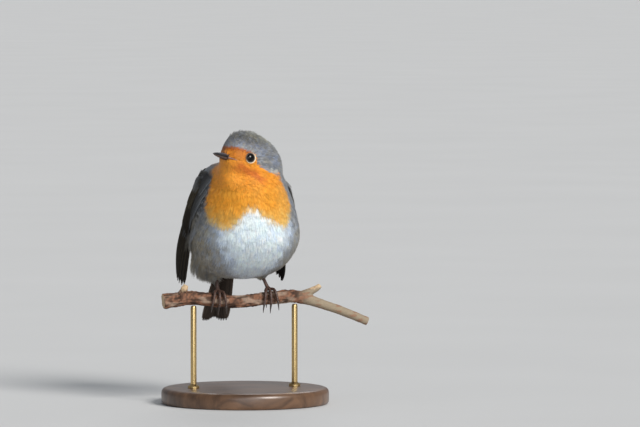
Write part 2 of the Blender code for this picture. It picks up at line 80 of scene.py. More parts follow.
def ease(low, high, value):
    """0 below low, 1 above high and a soft step between them."""
    t = np.clip((np.asarray(value, float) - low) / (high - low), 0, 1)
    return t * t * (3 - 2 * t)


def unit(v):
    return v / np.maximum(np.linalg.norm(v, axis=-1, keepdims=True), 1e-9)


# %% [markdown]
# ## The head's own axes
# The head is turned well to the bird's right and lifted a little. Face details are far easier to place
# along forward, left and up of the head itself, measured from the point midway between the eyes.

# %% Axes of the head and of the eyes
BETWEEN_EYES = np.array([-7.6, -16.0, PERCH + 71.8])
turn, lift = math.radians(60), math.radians(14)
FORWARD = np.array([-math.sin(turn) * math.cos(lift), -math.cos(turn) * math.cos(lift), math.sin(lift)])
LEFT = np.array([math.cos(turn), -math.sin(turn), 0.0])
UP = np.cross(FORWARD, LEFT)
HEAD_AXES = np.stack([FORWARD, LEFT, UP])
EYE_RADIUS, EYE_OPENING = 3.3, 2.05
EYE_SEAT = math.sqrt(EYE_RADIUS**2 - EYE_OPENING**2)  # from the ball's middle to its lids


def in_head(forward, left, up):
    """A point in millimetres from the head's own axes."""
    return BETWEEN_EYES + forward * FORWARD + left * LEFT + up * UP


def head_measures(points):
    """Forward, left and up of each point."""
    measured = (points - BETWEEN_EYES) @ HEAD_AXES.T
    return measured[..., 0], measured[..., 1], measured[..., 2]


SIDES, EYES = {"left": 1, "right": -1}, {}
for name, side in SIDES.items():
    looks = unit(0.36 * FORWARD + 0.93 * side * LEFT + 0.05 * UP)
    EYES[name] = (in_head(-0.4, 6.95 * side, 0.0), looks)
print("eyes", round(float(np.linalg.norm(EYES["left"][0] - EYES["right"][0])), 1), "mm apart")

# %% [markdown]
# ## One closed form of the whole bird
# The solids are separate pieces with hairline gaps. Feathers cross those gaps, so they need one closed
# surface to lie on. Copies of the pieces are grown a quarter of a millimetre until they overlap, and a
# voxel remesh melts them into one. The bill and tail are left in, so that feathers at their roots run
# out on to them instead of curling round the end.


# %% Melt the solids into one form
def put_in_scene(name, data):
    """A new object in the scene."""
    made = bpy.data.objects.new(name, data)
    bpy.context.scene.collection.objects.link(made)
    return made


def mesh_of(name, bm):
    """Turns a bmesh into a mesh and frees it."""
    mesh = bpy.data.meshes.new(name)
    bm.to_mesh(mesh)
    bm.free()
    return mesh


def pour(part, whole):
    """Adds one bmesh to another and frees it."""
    mesh = mesh_of("poured", part)
    whole.from_mesh(mesh)
    bpy.data.meshes.remove(mesh)


def swollen_copy(names, swell):
    """Merged copies of the frame's solids, each grown so that neighbours overlap, in one bmesh."""
    whole = bmesh.new()
    for name in names:
        piece = bmesh.new()
        piece.from_mesh(nodes[name].data)
        bmesh.ops.remove_doubles(piece, verts=piece.verts, dist=1e-6)
        piece.normal_update()
        for v in piece.verts:
            v.co += v.normal * swell * MM
        pour(piece, whole)
    return whole


def melted(bm, voxel, smoothing):
    """The bmesh as one closed surface on a fine grid, smoothed."""
    mesh = mesh_of("melting", bm)
    obj = put_in_scene("melting", mesh)
    remesh = obj.modifiers.new("one", "REMESH")
    remesh.mode, remesh.voxel_size = "VOXEL", voxel * MM
    soften = obj.modifiers.new("soften", "SMOOTH")
    soften.factor, soften.iterations = 0.5, smoothing
    bpy.context.view_layer.update()
    one = bmesh.new()
    one.from_object(obj, bpy.context.evaluated_depsgraph_get())
    bpy.data.objects.remove(obj)
    bpy.data.meshes.remove(mesh)
    return one


# %% The ground that feathers lie on
def corners_of(bm):
    """The corners of a bmesh in millimetres, and the way each one faces."""
    bm.normal_update()
    return np.array([v.co for v in bm.verts]) / MM, np.array([v.normal for v in bm.verts])


def faces_of(bm):
    """The corner numbers of each face of a bmesh of triangles or of quads."""
    return np.array([[v.index for v in f.verts] for f in bm.faces])


FLESH = ["head", "neck", "breast", "belly", "back", "rump", "thigh_left", "thigh_right"]
BALLS, ENDS = ["eye_left", "eye_right"], ["bill_upper", "bill_lower", "tail_left", "tail_right"]
WINGS = [name for name in nodes if name.startswith("wing_")]
SWELL = 0.25


class Ground:
    """A closed surface for feathers: its corners in millimetres, their facings, faces and search trees."""

    def __init__(self, bm):
        bmesh.ops.triangulate(bm, faces=bm.faces)
        self.points, self.facings = corners_of(bm)
        self.faces = faces_of(bm)
        self.rays = BVHTree.FromBMesh(bm)
        self.finder = KDTree(len(self.points))
        for i, p in enumerate(self.points):
            self.finder.insert(p, i)
        self.finder.balance()
        bm.free()

    def nearest(self, points):
        """The nearest places on the surface and the way it faces there."""
        near = np.array([self.finder.find(p)[1] for p in points])
        corner, facing = self.points[near], self.facings[near]
        gap = ((points - corner) * facing).sum(1, keepdims=True)
        return points - gap * facing, facing


form = Ground(melted(swollen_copy(FLESH + BALLS + ENDS, SWELL), 0.9, 16))
print("the form has", len(form.points), "corners")


# %% [markdown]
# ## Reading the form
# Besides the nearest place on the form, feathers need to know how far they are from an eye, the bill,
# the wings and the tail, because their size, direction and depth all change there.


# %% Distances to other parts
def from_eye(points):
    """How far each point is from the nearer eye's line of sight, and the direction away from it."""
    _, left, _ = head_measures(points)
    near = np.where(left[:, None] > 0, EYES["left"][0], EYES["right"][0])
    looks = np.where(left[:, None] > 0, EYES["left"][1], EYES["right"][1])
    away = points - near
    away = away - (away * looks).sum(1, keepdims=True) * looks
    return np.linalg.norm(away, axis=1), unit(away)


def tree_of(names):
    """A search tree of some of the frame's solids."""
    bm = swollen_copy(names, 0.0)
    found = BVHTree.FromBMesh(bm)
    bm.free()
    return found


def distance_to(tree, points):
    """Millimetres from each point to the nearest face of a search tree."""
    return np.array([tree.find_nearest(Vector(p) * MM)[3] or 0.0 for p in points]) / MM


TAIL_ROOT, TAIL_TIP = np.array([-0.3, 27.0, PERCH + 31.0]), np.array([-2.0, 58.3, PERCH - 14.2])
TAIL_RUN = unit(TAIL_TIP - TAIL_ROOT)


def rump_place(points):
    """How far each point is along the tail from its root."""
    return (points - TAIL_ROOT) @ TAIL_RUN


def above_perch(points):
    """Each point's height above the middle of the branch, where the bird sits."""
    return points[..., 2] - PERCH


print("tail length from its root:", round(float(np.linalg.norm(TAIL_TIP - TAIL_ROOT)), 1), "mm")


# %% [markdown]
# ## The lie of the coat
# Feathers on the head fan out from the bill; on the body they point down the breast and back to the
# tail; round the eye the smallest ones stand away from the lids. One direction for each place, laid
# flat on the form, keeps neighbours parallel.


# %% Which way each feather points
def lie(points, facing):
    """The direction of growth on the form at each point."""
    from_bill = points - in_head(9.5, 0, -2.0)
    height = above_perch(points)
    down_body = np.array([0.0, 0.44, -0.90]) + np.zeros_like(points)
    down_body[:, 0] = 0.006 * points[:, 0]
    share = ease(50, 66, height)[:, None]
    way = unit(from_bill) * share + down_body * (1 - share)
    apart, away = from_eye(points)
    ring = (1 - ease(2.9, 5.6, apart))[:, None] * ease(60, 62, height)[:, None]
    way = way * (1 - 0.85 * ring) + away * 0.85 * ring
    way = way - (way * facing).sum(1, keepdims=True) * facing
    return unit(way)


def coat_depth(points):
    """How far under the form's surface the skin lies, in millimetres."""
    forward, _, up = head_measures(points)
    height = above_perch(points)
    head = ease(58, 66, height)
    face = ease(-9, 5, forward) * head
    depth = 3.3 - 1.1 * head - 1.35 * face + 0.35 * head * ease(6, 11, up)
    apart, _ = from_eye(points)
    depth = depth - (depth - 0.55) * (1 - ease(2.6, 6.5, apart)) * head
    depth = depth - (depth - 0.9) * ease(4, 14, rump_place(points))
    leg = (1 - ease(9.5, 12.5, height)) * (1 - ease(9, 14, points[:, 1]))
    return depth - (depth - 1.0) * leg


sample = form.points[:: len(form.points) // 200]
print("coat depth from", coat_depth(sample).min().round(2), "to", coat_depth(sample).max().round(2), "mm")

# %% [markdown]
# ## Markings
# A robin's colours are a few soft-edged fields: an orange face and bib, blue-grey along the bib's edge
# and behind the eye, an olive crown and back, a white belly and buff flanks. Each field is a rule about
# where a place is on the bird. The skin and the feathers both ask the same rule, so they always agree.

# %% Where the orange ends
# On the head: for each place forward of the eye's middle, the height at which orange gives way to grey.
face_edge = curve_through([
    (-30, -30), (-25.8, -18.5), (-24.5, -13.2), (-22, -8.8), (-19, -5.8), (-16, -4.0), (-13, -4.6),
    (-10, -4.5), (-7, -3.7), (-5, -2.9), (-3.4, -1.6), (-2.6, 0.9), (-1.2, 3.0), (1.8, 3.2), (4.6, 3.2),
    (7.0, 3.7), (9, 3.9),
])
# On the body: the bib's edges as angles round the body from straight ahead, for each height.
bib_sides = curve_through([
    (34, -44, 28), (38.5, -47, 31), (41.5, -52, 35), (44, -53, 37), (48, -55, 40), (53, -57, 40.5),
    (58, -59, 38), (61.5, -59, 33.5), (65.5, -63, 28), (70, -66, 20),
])
# The bib's lower edge: its height for each angle, with the white of the belly running up the middle.
bib_foot = curve_through([
    (-75, 44), (-51, 42.0), (-42, 40.4), (-36, 39.3), (-27, 39.2), (-20, 41.0), (-14, 44.8), (-7, 46.9),
    (-1, 45.9), (5, 43.4), (12, 41.4), (20, 40.4), (27, 39.6), (36, 43.6), (45, 46),
])


def ruffle(points, size, seed):
    """A smooth random value between about -1 and 1 for each point, so that edges aren't ruled lines."""
    shift = Vector((seed * 7.1, seed * 3.3, seed * 1.7))
    return np.array([noise.noise(Vector(p) / size + shift) for p in points]) * 1.6


def body_angle(points):
    """The angle round the body from straight ahead, positive to the bird's left."""
    return np.degrees(np.arctan2(points[:, 0], -(points[:, 1] - 2.0)))


def orange_share(points):
    """1 on the orange face and bib, 0 off it, in millimetre-soft steps."""
    forward, _, up = head_measures(points)
    height = above_perch(points)
    wobble = ruffle(points, 3.0, 1)
    angle, sides = body_angle(points), bib_sides(height)
    on_face = ease(-0.7, 0.7, face_edge(forward) - up + 0.5 * wobble)
    on_face *= 1 - ease(62, 74, np.abs(angle)) * (1 - ease(66, 71, height))
    on_bib = ease(-2.5, 2.5, angle - sides[:, 0] + 2.2 * wobble)
    on_bib *= ease(-2.5, 2.5, sides[:, 1] - angle + 2.2 * wobble)
    on_bib *= ease(-2.2, 2.2, height - bib_foot(angle) + 1.1 * wobble)
    head = ease(61.5, 66.0, height)
    return on_face * head + on_bib * (1 - head)


# %% [markdown]
# Each colour is a linear red, green and blue. The orange is deepest on the face and throat and turns
# yellower down the breast; the belly is whitest in the middle and shades to grey and buff at the flanks.

# %% The robin's colours
HUES = {
    "deep_orange": (0.79, 0.290, 0.022),
    "orange": (0.77, 0.315, 0.023),
    "pale_orange": (0.78, 0.46, 0.100),
    # Yellower orange, brightened as painted light where the bill's shade falls.
    "lit_chin": (0.94, 0.37, 0.040),
    "bib_foot": (0.76, 0.54, 0.20),
    "brow": (0.29, 0.060, 0.006),
    # Painted shade in the fold below the cheek.
    "painted_fold_shade": (0.56, 0.135, 0.018),
    "blue_grey": (0.225, 0.235, 0.255),
    "front_crown": (0.190, 0.195, 0.212),
    # The crown's olive, lightened as painted light on the top and back of the head.
    "crown": (0.370, 0.360, 0.285),
    "back": (0.135, 0.108, 0.062),
    "rump": (0.150, 0.120, 0.072),
    "white": (0.81, 0.91, 1.0),
    "grey_white": (0.41, 0.455, 0.52),
    "buff": (0.25, 0.218, 0.158),
    "cream": (0.86, 0.74, 0.52),
}


def tint(name):
    return np.array(HUES[name])


def blend(low, high, share):
    share = np.asarray(share)[:, None]
    return low * (1 - share) + high * share


# %% The colour of each place
def markings(points):
    """The plumage colour at each point."""
    forward, left, up = head_measures(points)
    height, angle = above_perch(points), body_angle(points)
    wobble = ruffle(points, 4.5, 2)
    streak = ruffle(points * np.array([1, 1, 0.22]), 1.1, 8)
    # The belly: white in the middle, greyer to both sides and below, buff low on the flanks; the grey below
    # is partly painted shade.
    turned = np.where(angle < 5, 1.02 * (5 - angle), 1.26 * (angle - 5))
    body = blend(tint("white"), tint("grey_white"), ease(24, 52, turned + 7 * wobble + 6 * streak))
    # Greyer low down: partly the belly's own grey, partly painted shade on its underside.
    body = blend(body, tint("grey_white"), 0.85 * ease(20, 7, height + 3 * wobble + 4 * streak))
    low_flank = ease(38, 72, turned + 6 * wobble + 9 * streak + 0.35 * (30 - height))
    body = blend(body, tint("buff"), 0.85 * low_flank)
    body = body * (1 + 0.22 * streak * ease(12, 60, turned))[:, None]
    chest_side = ease(37, 45, height + wobble) * ease(22, 32, turned)
    body = blend(body, tint("blue_grey"), 0.9 * chest_side * (1 - ease(72, 92, turned + 6 * wobble)))
    # The back and the rump.
    behind = ease(76, 98, turned + 6 * wobble) * ease(16, 26, height + 0.2 * points[:, 1])
    back = blend(tint("back"), tint("rump"), ease(-12, 2, rump_place(points)))
    body = blend(body, back, behind)
    on_top = ease(-3, 3, points[:, 1] + (height - 31) * 1.1 - 27)
    body = blend(body, back, on_top * ease(-8, 0, rump_place(points)))
    # The grey head: darker on the front of the crown, olive on its top, lightened there as painted light, and
    # brown down the nape.
    olive = ease(5.0, 11.5, up + 1.2 * wobble - 0.25 * np.abs(left)) * ease(9, -4, forward)
    in_front = ease(3.5, 7.5, up) * ease(-8, 1, forward)
    top = blend(tint("blue_grey"), tint("front_crown"), in_front)
    top = blend(top, tint("crown"), olive)
    top = blend(top, tint("back"), ease(17, 30, -forward + 0.3 * up))
    colour = blend(body, top, ease(57, 66, height + 0.12 * points[:, 1]))
    # The orange: yellower downwards, with a red brow, a chin brightened as painted light against the bill's
    # shade, a paler breast on the bird's left side as painted light, and a painted shade along the fold below
    # the cheek.
    orange = blend(tint("deep_orange"), tint("orange"), ease(64, 52, height))
    # The chin: yellower orange, brightened further as painted light where the bill's shade falls.
    lit_chin = ease(-1.5, -4.0, up) * ease(-0.5, 4.0, forward) * ease(-20, -12, up)
    orange = blend(orange, tint("lit_chin"), 0.8 * lit_chin)
    # Paler down the breast; the extra paleness on the bird's left side is painted light from that side.
    paler = 0.80 * ease(51, 39, height + 3 * wobble) + 0.38 * ease(8, 32, angle) * ease(62, 54, height)
    orange = blend(orange, tint("pale_orange"), np.minimum(paler, 0.9))
    low_edge = ease(4.2, 0.2, height - bib_foot(angle) + 1.1 * wobble) * ease(60, 52, height)
    orange = blend(orange, tint("bib_foot"), 0.8 * low_edge)
    # A painted shade along the fold where the cheek feathers overlap the breast.
    painted_fold_shade = ease(3.0, 0.4, np.abs(up + 6.6 - 0.28 * forward + 0.8 * wobble)) * ease(7.5, 4.0, forward)
    orange = blend(orange, tint("painted_fold_shade"), 0.85 * painted_fold_shade * ease(-11, -5, forward) * ease(-2, 2, left))
    lores = ease(5.6, 3.0, np.abs(forward - 4.6)) * ease(-3.4, -0.6, up)
    brow = np.maximum(ease(0.6, 2.8, up) * ease(-3.5, 0.5, forward), 0.60 * lores)
    orange = blend(orange, tint("brow"), 0.84 * brow)
    return blend(colour, orange, orange_share(points))


print("bib colour in front:", markings(np.array([[-5.0, -27.0, PERCH + 52]])).round(3)[0])


# %% [markdown]
# ## Finishes
# Plumage takes its colour from values stored on the mesh, one for each corner, because every filament
# differs a little from the next. A faint sheen and high roughness keep it soft.


# %% Material helpers
def finish(name, rough=0.7, colour=(0.5, 0.5, 0.5), **settings):
    """A Principled material, with its nodes, its links and its shader."""
    made = bpy.data.materials.new(name)
    made.use_nodes = True
    made.diffuse_color = (*colour, 1)
    tree = made.node_tree
    shader = tree.nodes["Principled BSDF"]
    shader.inputs["Base Color"].default_value = (*colour, 1)
    shader.inputs["Roughness"].default_value = rough
    for key, value in settings.items():
        shader.inputs[key.replace("_", " ")].default_value = value
    return made, tree.nodes, tree.links, shader


def node(nodes_of, kind, **settings):
    """A new shader node with its properties, or its inputs by name, set."""
    made = nodes_of.new(kind)
    for key, value in settings.items():
        if hasattr(made, key):
            setattr(made, key, value)
        else:
            made.inputs[key.replace("_", " ")].default_value = value
    return made


def bump_from(nodes_of, links, shader, height, strength, distance):
    """Feeds a height into the shader's normal."""
    bump = node(nodes_of, "ShaderNodeBump", Strength=strength, Distance=distance)
    links.new(height, bump.inputs["Height"])
    links.new(bump.outputs["Normal"], shader.inputs["Normal"])
    return bump


# %% Patterns in a finish
def in_space(ns, links, kind, **settings):
    """A texture or vector node that reads the piece's own place in metres."""
    place = node(ns, "ShaderNodeTexCoord")
    made = node(ns, kind, **settings)
    links.new(place.outputs["Object"], made.inputs[0])
    return made


def spread_over(ns, links, factor, **limits):
    """A factor moved to new limits."""
    levels = node(ns, "ShaderNodeMapRange", **limits)
    links.new(factor, levels.inputs["Value"])
    return levels.outputs["Result"]


def vary(ns, links, shader, colour, factor, darkest, lightest):
    """Darkens and lightens a colour by a factor on its way to the shader."""
    mixed = node(ns, "ShaderNodeVectorMath", operation="SCALE")
    links.new(colour, mixed.inputs[0])
    links.new(spread_over(ns, links, factor, To_Min=darkest, To_Max=lightest), mixed.inputs["Scale"])
    links.new(mixed.outputs["Vector"], shader.inputs["Base Color"])


def ramp(ns, links, factor, stops):
    """A colour read from a factor, by stops of (place, colour) from low to high."""
    made = node(ns, "ShaderNodeValToRGB")
    elements = made.color_ramp.elements
    elements[0].position, elements[1].position = stops[0][0], stops[-1][0]
    for position, _ in stops[1:-1]:
        elements.new(position)
    for element, (_, colour) in zip(elements, stops):
        element.color = (*colour, 1)
    links.new(factor, made.inputs["Fac"])
    return made.outputs["Color"]


# %% The plumage's own finish
def stored_colour(name, rough, grain, **settings):
    """A finish that reads its colour from the mesh, dappled by a fine noise in space."""
    made, ns, links, shader = finish(name, rough, **settings)
    colour = node(ns, "ShaderNodeAttribute", attribute_name="plumage")
    dapple = in_space(ns, links, "ShaderNodeTexNoise", Scale=grain, Detail=3.0)
    vary(ns, links, shader, colour.outputs["Color"], dapple.outputs["Fac"], 0.82, 1.16)
    return made


plumage = stored_colour("plumage", 0.62, 900.0, Sheen_Weight=0.12, Specular_IOR_Level=0.25)
print("made the finish", plumage.name)


# %% [markdown]
# ## Meshes from arrays
# A coat has thousands of feathers and hundreds of thousands of filaments. Building them one by one
# would take minutes, so every tuft is a small pattern that is bent to its place with array arithmetic,
# and all the tufts of one region are joined in one mesh.


# %% Put arrays into a mesh
def store_colours(mesh, colours):
    """One colour for each corner, which the finishes read by its name."""
    layer = mesh.color_attributes.new("plumage", "FLOAT_COLOR", "POINT")
    rgba = np.concatenate([colours, np.ones((len(colours), 1))], 1)
    layer.data.foreach_set("color", rgba.astype(np.float32).ravel())


def mesh_from_arrays(name, points, faces, finish_of, colours, uvs=None, normals=None):
    """An object from points in millimetres and blocks of faces, with stored colours, map and normals."""
    mesh = bpy.data.meshes.new(name)
    mesh.vertices.add(len(points))
    mesh.vertices.foreach_set("co", (points * MM).astype(np.float32).ravel())
    corners = np.concatenate([f.ravel() for f in faces])
    sides = np.concatenate([np.full(len(f), f.shape[1]) for f in faces])
    starts = np.cumsum(sides) - sides
    mesh.loops.add(len(corners))
    mesh.loops.foreach_set("vertex_index", corners.astype(np.int32))
    mesh.polygons.add(len(starts))
    mesh.polygons.foreach_set("loop_start", starts.astype(np.int32))
    mesh.update(calc_edges=True)
    mesh.shade_smooth()
    store_colours(mesh, colours)
    if uvs is not None:
        layer = mesh.uv_layers.new(name="OFBake")
        layer.data.foreach_set("uv", uvs[corners].astype(np.float32).ravel())
    if normals is not None:
        mesh.normals_split_custom_set_from_vertices(unit(normals).astype(np.float32))
    mesh.materials.append(finish_of)
    made = put_in_scene(name, mesh)
    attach(made, "root")
    return made


# %% [markdown]
# The coat carries a map of the skin. Each place on the bird has an angle round the
# body and a height; near the crown and the belly the rows are spread wider, because little height
# covers a lot of bird there.

# %% Unroll the skin
LOWEST, HIGHEST = form.points[:, 2].min() - 0.5, form.points[:, 2].max() + 0.5
waist = curve_through([(PERCH + 8, 0, 6), (PERCH + 20, 0, 3), (PERCH + 50, 0, 0), (PERCH + 64, -5, -8),
                       (PERCH + 72, -5.5, -11), (PERCH + 88, -6, -11)])


def unrolled(points):
    """The skin's map: angle round the body, and height opened out towards both ends."""
    middle = waist(points[:, 2])
    u = 0.5 + np.arctan2(points[:, 0] - middle[:, 0], -(points[:, 1] - middle[:, 1])) / (2 * math.pi)
    share = np.clip((points[:, 2] - LOWEST) / (HIGHEST - LOWEST), 0, 1)
    v = np.arccos(1 - 2 * share) / math.pi
    return np.stack([0.01 + 0.98 * u, 0.01 + 0.98 * v], 1)


# %% [markdown]
# ## The skin
# Under the feathers lies one closed skin, smaller than the outline by the coat's own depth. It carries
# the same markings, a little darker, so a gap between feathers never shows a wrong colour.


# %% Make the skin
def make_skin():
    """The skin under the plumage, one closed mesh in place of the flesh solids."""
    skin = melted(swollen_copy(FLESH + BALLS, SWELL), 1.1, 6)
    points, facing = corners_of(skin)
    sunk = points - facing * (coat_depth(points) + 0.25)[:, None]
    for v, p in zip(skin.verts, sunk):
        v.co = Vector(p) * MM
    for _ in range(2):
        bmesh.ops.smooth_vert(skin, verts=skin.verts, factor=0.5, use_axis_x=True, use_axis_y=True,
                              use_axis_z=True)
    bmesh.ops.triangulate(skin, faces=skin.faces)
    sunk, faces = corners_of(skin)[0], faces_of(skin)
    skin.free()
    at = unrolled(sunk)
    corner_uv = at[faces]
    wraps = np.ptp(corner_uv[..., 0], axis=1) > 0.5
    corner_uv[wraps, :, 0] = np.where(corner_uv[wraps, :, 0] < 0.5, 0.998, corner_uv[wraps, :, 0])
    made = mesh_from_arrays("skin", sunk, [faces], plumage, colours=0.90 * markings(sunk), uvs=at)
    made.data.uv_layers["OFBake"].data.foreach_set("uv", corner_uv.astype(np.float32).ravel())
    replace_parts(made, *FLESH)
    return made


skin = make_skin()
print("skin faces:", len(skin.data.polygons))


# %% [markdown]
# ## One tuft
# A contour feather is a soft leaf: a shaft with filaments that sweep forward on both sides, loose at the
# rim. In the pattern s runs from root to tip, x across and h up off the bird. Each filament is a bowed
# blade of three triangles, and a small leaf below closes the gaps.


# %% Patterns for tufts
def tuft_pattern(length, half_width, filaments, start, thickness, loose, spread, seed):
    """One feather of a nominal size: filaments on each side from a start, spread by an angle."""
    dice = np.random.default_rng(seed)
    points, quads, triangles = [], [], []
    for side in (-1, 1):
        for k in range(filaments):
            at = start + (0.95 - start) * (k + dice.uniform(0.1, 0.9)) / filaments
            reach = half_width * math.sin(math.pi * min(1.0, (at + 0.10) / 1.12)) ** 0.7
            reach *= dice.uniform(0.78, 1.12)
            sweep = math.radians(spread * (1.15 - 0.75 * at) * dice.uniform(0.85, 1.15))
            run = min(reach / math.tan(sweep), 0.42 * length)
            a0, b0 = at * length, 0.02 * side
            a2, b2 = a0 + run, reach * side
            a1, b1 = a0 + 0.46 * run, (0.60 * reach) * side
            wide = thickness * dice.uniform(0.8, 1.2)
            nx, ny = -(b2 - b0), (a2 - a0)
            size = math.hypot(nx, ny)
            nx, ny = nx / size * wide / 2, ny / size * wide / 2
            rise = loose * dice.uniform(-0.15, 1.0)
            shade = dice.uniform(0.92, 1.08)
            first, bend = len(points), 0.35 * rise
            # Each filament darkens from tip to root: partly its grey down, partly painted shade under the
            # feathers above.
            for a, b, up, light in ((a0 - nx, b0 - ny, 0.0, 0.93), (a0 + nx, b0 + ny, 0.0, 0.93),
                                    (a1 + nx, b1 + ny, bend, 0.99), (a1 - nx, b1 - ny, bend, 0.99),
                                    (a2, b2, rise - 0.05 * reach, 1.04)):
                points.append((a / length, b / half_width, up, light * shade))
            quads.append([first, first + 3, first + 2, first + 1])
            triangles.append([first + 3, first + 4, first + 2])
    # The leaf below is darker too: grey down with painted shade under the filaments.
    first = len(points)
    for at, wide in ((0.02, 0.45), (0.3, 0.72), (0.55, 0.66), (0.8, 0.3)):
        points += [(at, across * wide, -0.12 - 0.12 * abs(across), 0.92) for across in (-1, 0, 1)]
    for row in range(3):
        for column in range(2):
            low = first + 3 * row + column
            quads.append([low, low + 3, low + 4, low + 1])
    s, x, h, tone = np.array(points, float).T
    return {"s": s, "x": x, "h": h, "tone": tone, "quads": np.array(quads), "triangles": np.array(triangles),
            "half_width": half_width}


def patterns_from(first_seed, count, *sizes):
    """Several tufts of one kind, no two alike."""
    return [tuft_pattern(*sizes, first_seed + k) for k in range(count)]


breast_patterns = patterns_from(0, 6, 8.0, 2.0, 21, 0.30, 0.19, 0.12, 23)
one = breast_patterns[0]
print("a breast feather has", 2 * len(one["quads"]) + len(one["triangles"]), "triangles")


# %% [markdown]
# ## Rooting and laying feathers
# Roots are spread so that no two are closer than the local spacing. From each root
# a short walk over the form, always along the lie, gives the feather's middle line, its facing and its
# width direction. The root sits as deep as the skin and the tip comes up to the outline.


# %% Spread roots and walk the middle lines
def spread_roots(ground, inside, spacing, tries):
    """Random points on a ground where inside() holds, none closer than spacing() to another."""
    corners = ground.points[ground.faces]
    sizes = np.linalg.norm(np.cross(corners[:, 1] - corners[:, 0], corners[:, 2] - corners[:, 0]), axis=1)
    odds = sizes * inside(corners.mean(1))
    picked = chance.choice(len(corners), tries, p=odds / odds.sum())
    mix = chance.dirichlet((1, 1, 1), tries)[..., None]
    points = (corners[picked] * mix).sum(1)
    apart = spacing(points)
    finder = KDTree(tries)
    for i, p in enumerate(points):
        finder.insert(p, i)
    finder.balance()
    taken = np.zeros(tries, bool)
    chosen = []
    for i in range(tries):
        if taken[i]:
            continue
        chosen.append(i)
        for _, j, _ in finder.find_range(points[i], apart[i]):
            taken[j] = True
    return points[chosen]


STEPS = 5


def lay_feathers(ground, roots, lengths, depth, lift):
    """Middle line, along, across and facing of each feather at STEPS + 1 stations. Depth sinks the
    root, and lift raises the tip off the outline."""
    place, facing = ground.nearest(roots)
    along = lie(place, facing)
    along = unit(along + 0.10 * np.cross(facing, along) * chance.normal(size=(len(roots), 1)))
    line, ways, faces_up = [], [], []
    for k in range(STEPS + 1):
        s = k / STEPS
        sunk = 0.35 + depth * (1 - s) ** 1.8 - lift * s * s
        line.append(place - facing * sunk[:, None])
        ways.append(along)
        faces_up.append(facing)
        moved = place + along * (lengths / STEPS)[:, None]
        place, facing = ground.nearest(moved)
        along = along * 0.55 + lie(place, facing) * 0.45
        along = unit(along - (along * facing).sum(1, keepdims=True) * facing)
    line, ways, faces_up = (np.stack(v, 1) for v in (line, ways, faces_up))
    return line, ways, np.cross(faces_up, ways), faces_up


# %% [markdown]
# Bending a pattern to a feather is one step for all feathers that share it: read the middle line at each
# s, go x widths across and h millimetres out. The shading normal follows the bird's surface with a slight
# roll across each feather, which keeps thousands of tiny blades from glittering.


# %% Bend patterns along the middle lines
def bend_patterns(patterns, laid, widths, tints, roots, shaft, dark_ends):
    """Points, colours, bake places, normals and faces of many feathers, joined."""
    line, along, across, facing = laid
    which = chance.integers(0, len(patterns), len(line))
    points, colours, uvs, normals, quads, triangles = [], [], [], [], [], []
    total = 0
    patch = unrolled(roots)
    for index, pattern in enumerate(patterns):
        mine = np.flatnonzero(which == index)
        if not len(mine):
            continue
        at = np.clip(pattern["s"], 0, 1.25) * STEPS
        low = np.clip(at.astype(int), 0, STEPS - 1)
        part = (at - low)[None, :, None]
        centre, side, out = (
            stations[mine][:, low] * (1 - part) + stations[mine][:, low + 1] * part
            for stations in (line, across, facing)
        )
        side, out = unit(side), unit(out)
        size = widths[mine] / pattern["half_width"]
        x = pattern["x"][None, :, None] * widths[mine][:, None, None]
        h = pattern["h"][None, :, None] * size[:, None, None]
        h = h - 0.045 * x * x
        points.append((centre + side * x + out * h).reshape(-1, 3))
        roll = pattern["x"][None, :, None] * 0.30
        bent = out + side * roll + along[mine][:, low] * 0.12
        normals.append(bent.reshape(-1, 3))
        tone = pattern["tone"][None, :, None]
        dark_shaft = 1 - shaft * np.exp(-((pattern["x"] / 0.16) ** 2))[None, :, None]
        # Darker towards each feather's root: partly grey down, partly painted shade under the overlapping
        # feathers.
        greyed_and_shaded = ease(0.0, 0.45, pattern["s"])[None, :, None] * 0.12 + 0.88
        ends = 1 - dark_ends[mine][:, None, None] * ease(0.62, 0.98, pattern["s"])[None, :, None]
        colours.append((tints[mine][:, None, :] * tone * dark_shaft * greyed_and_shaded * ends).reshape(-1, 3))
        spot = np.stack([pattern["x"] * 0.0012, (pattern["s"] - 0.5) * 0.0026], 1)
        uvs.append(np.clip(patch[mine][:, None, :] + spot[None], 0.001, 0.999).reshape(-1, 2))
        base = total + (np.arange(len(mine)) * len(pattern["s"]))[:, None, None]
        quads.append((pattern["quads"][None] + base).reshape(-1, 4))
        triangles.append((pattern["triangles"][None] + base).reshape(-1, 3))
        total += len(mine) * len(pattern["s"])
    joined = [np.concatenate(v) for v in (points, colours, uvs, normals)]
    return joined, [np.concatenate(quads), np.concatenate(triangles)]


# %% Make one region's coat
def feather_colours(roots, spread):
    """The markings, a little different from feather to feather, most on flanks and head."""
    base, height, turned = markings(roots), above_perch(roots), np.abs(body_angle(roots))
    flank = ease(26, 62, turned) * ease(100, 84, turned) * ease(60, 50, height)
    off_bib = 1 - orange_share(roots)
    spread = spread + ((0.14 * flank + 0.11 * ease(60, 66, height)) * off_bib)[:, None]
    light, warm = np.clip(chance.normal(size=(2, len(roots), 1)), -1.5, 1.5)
    warmth = 1 + 0.4 * spread * warm * np.array([1.0, 0.3, -1.2])
    return np.clip(base * (1 + spread * light) * warmth, 0.004, 0.94)


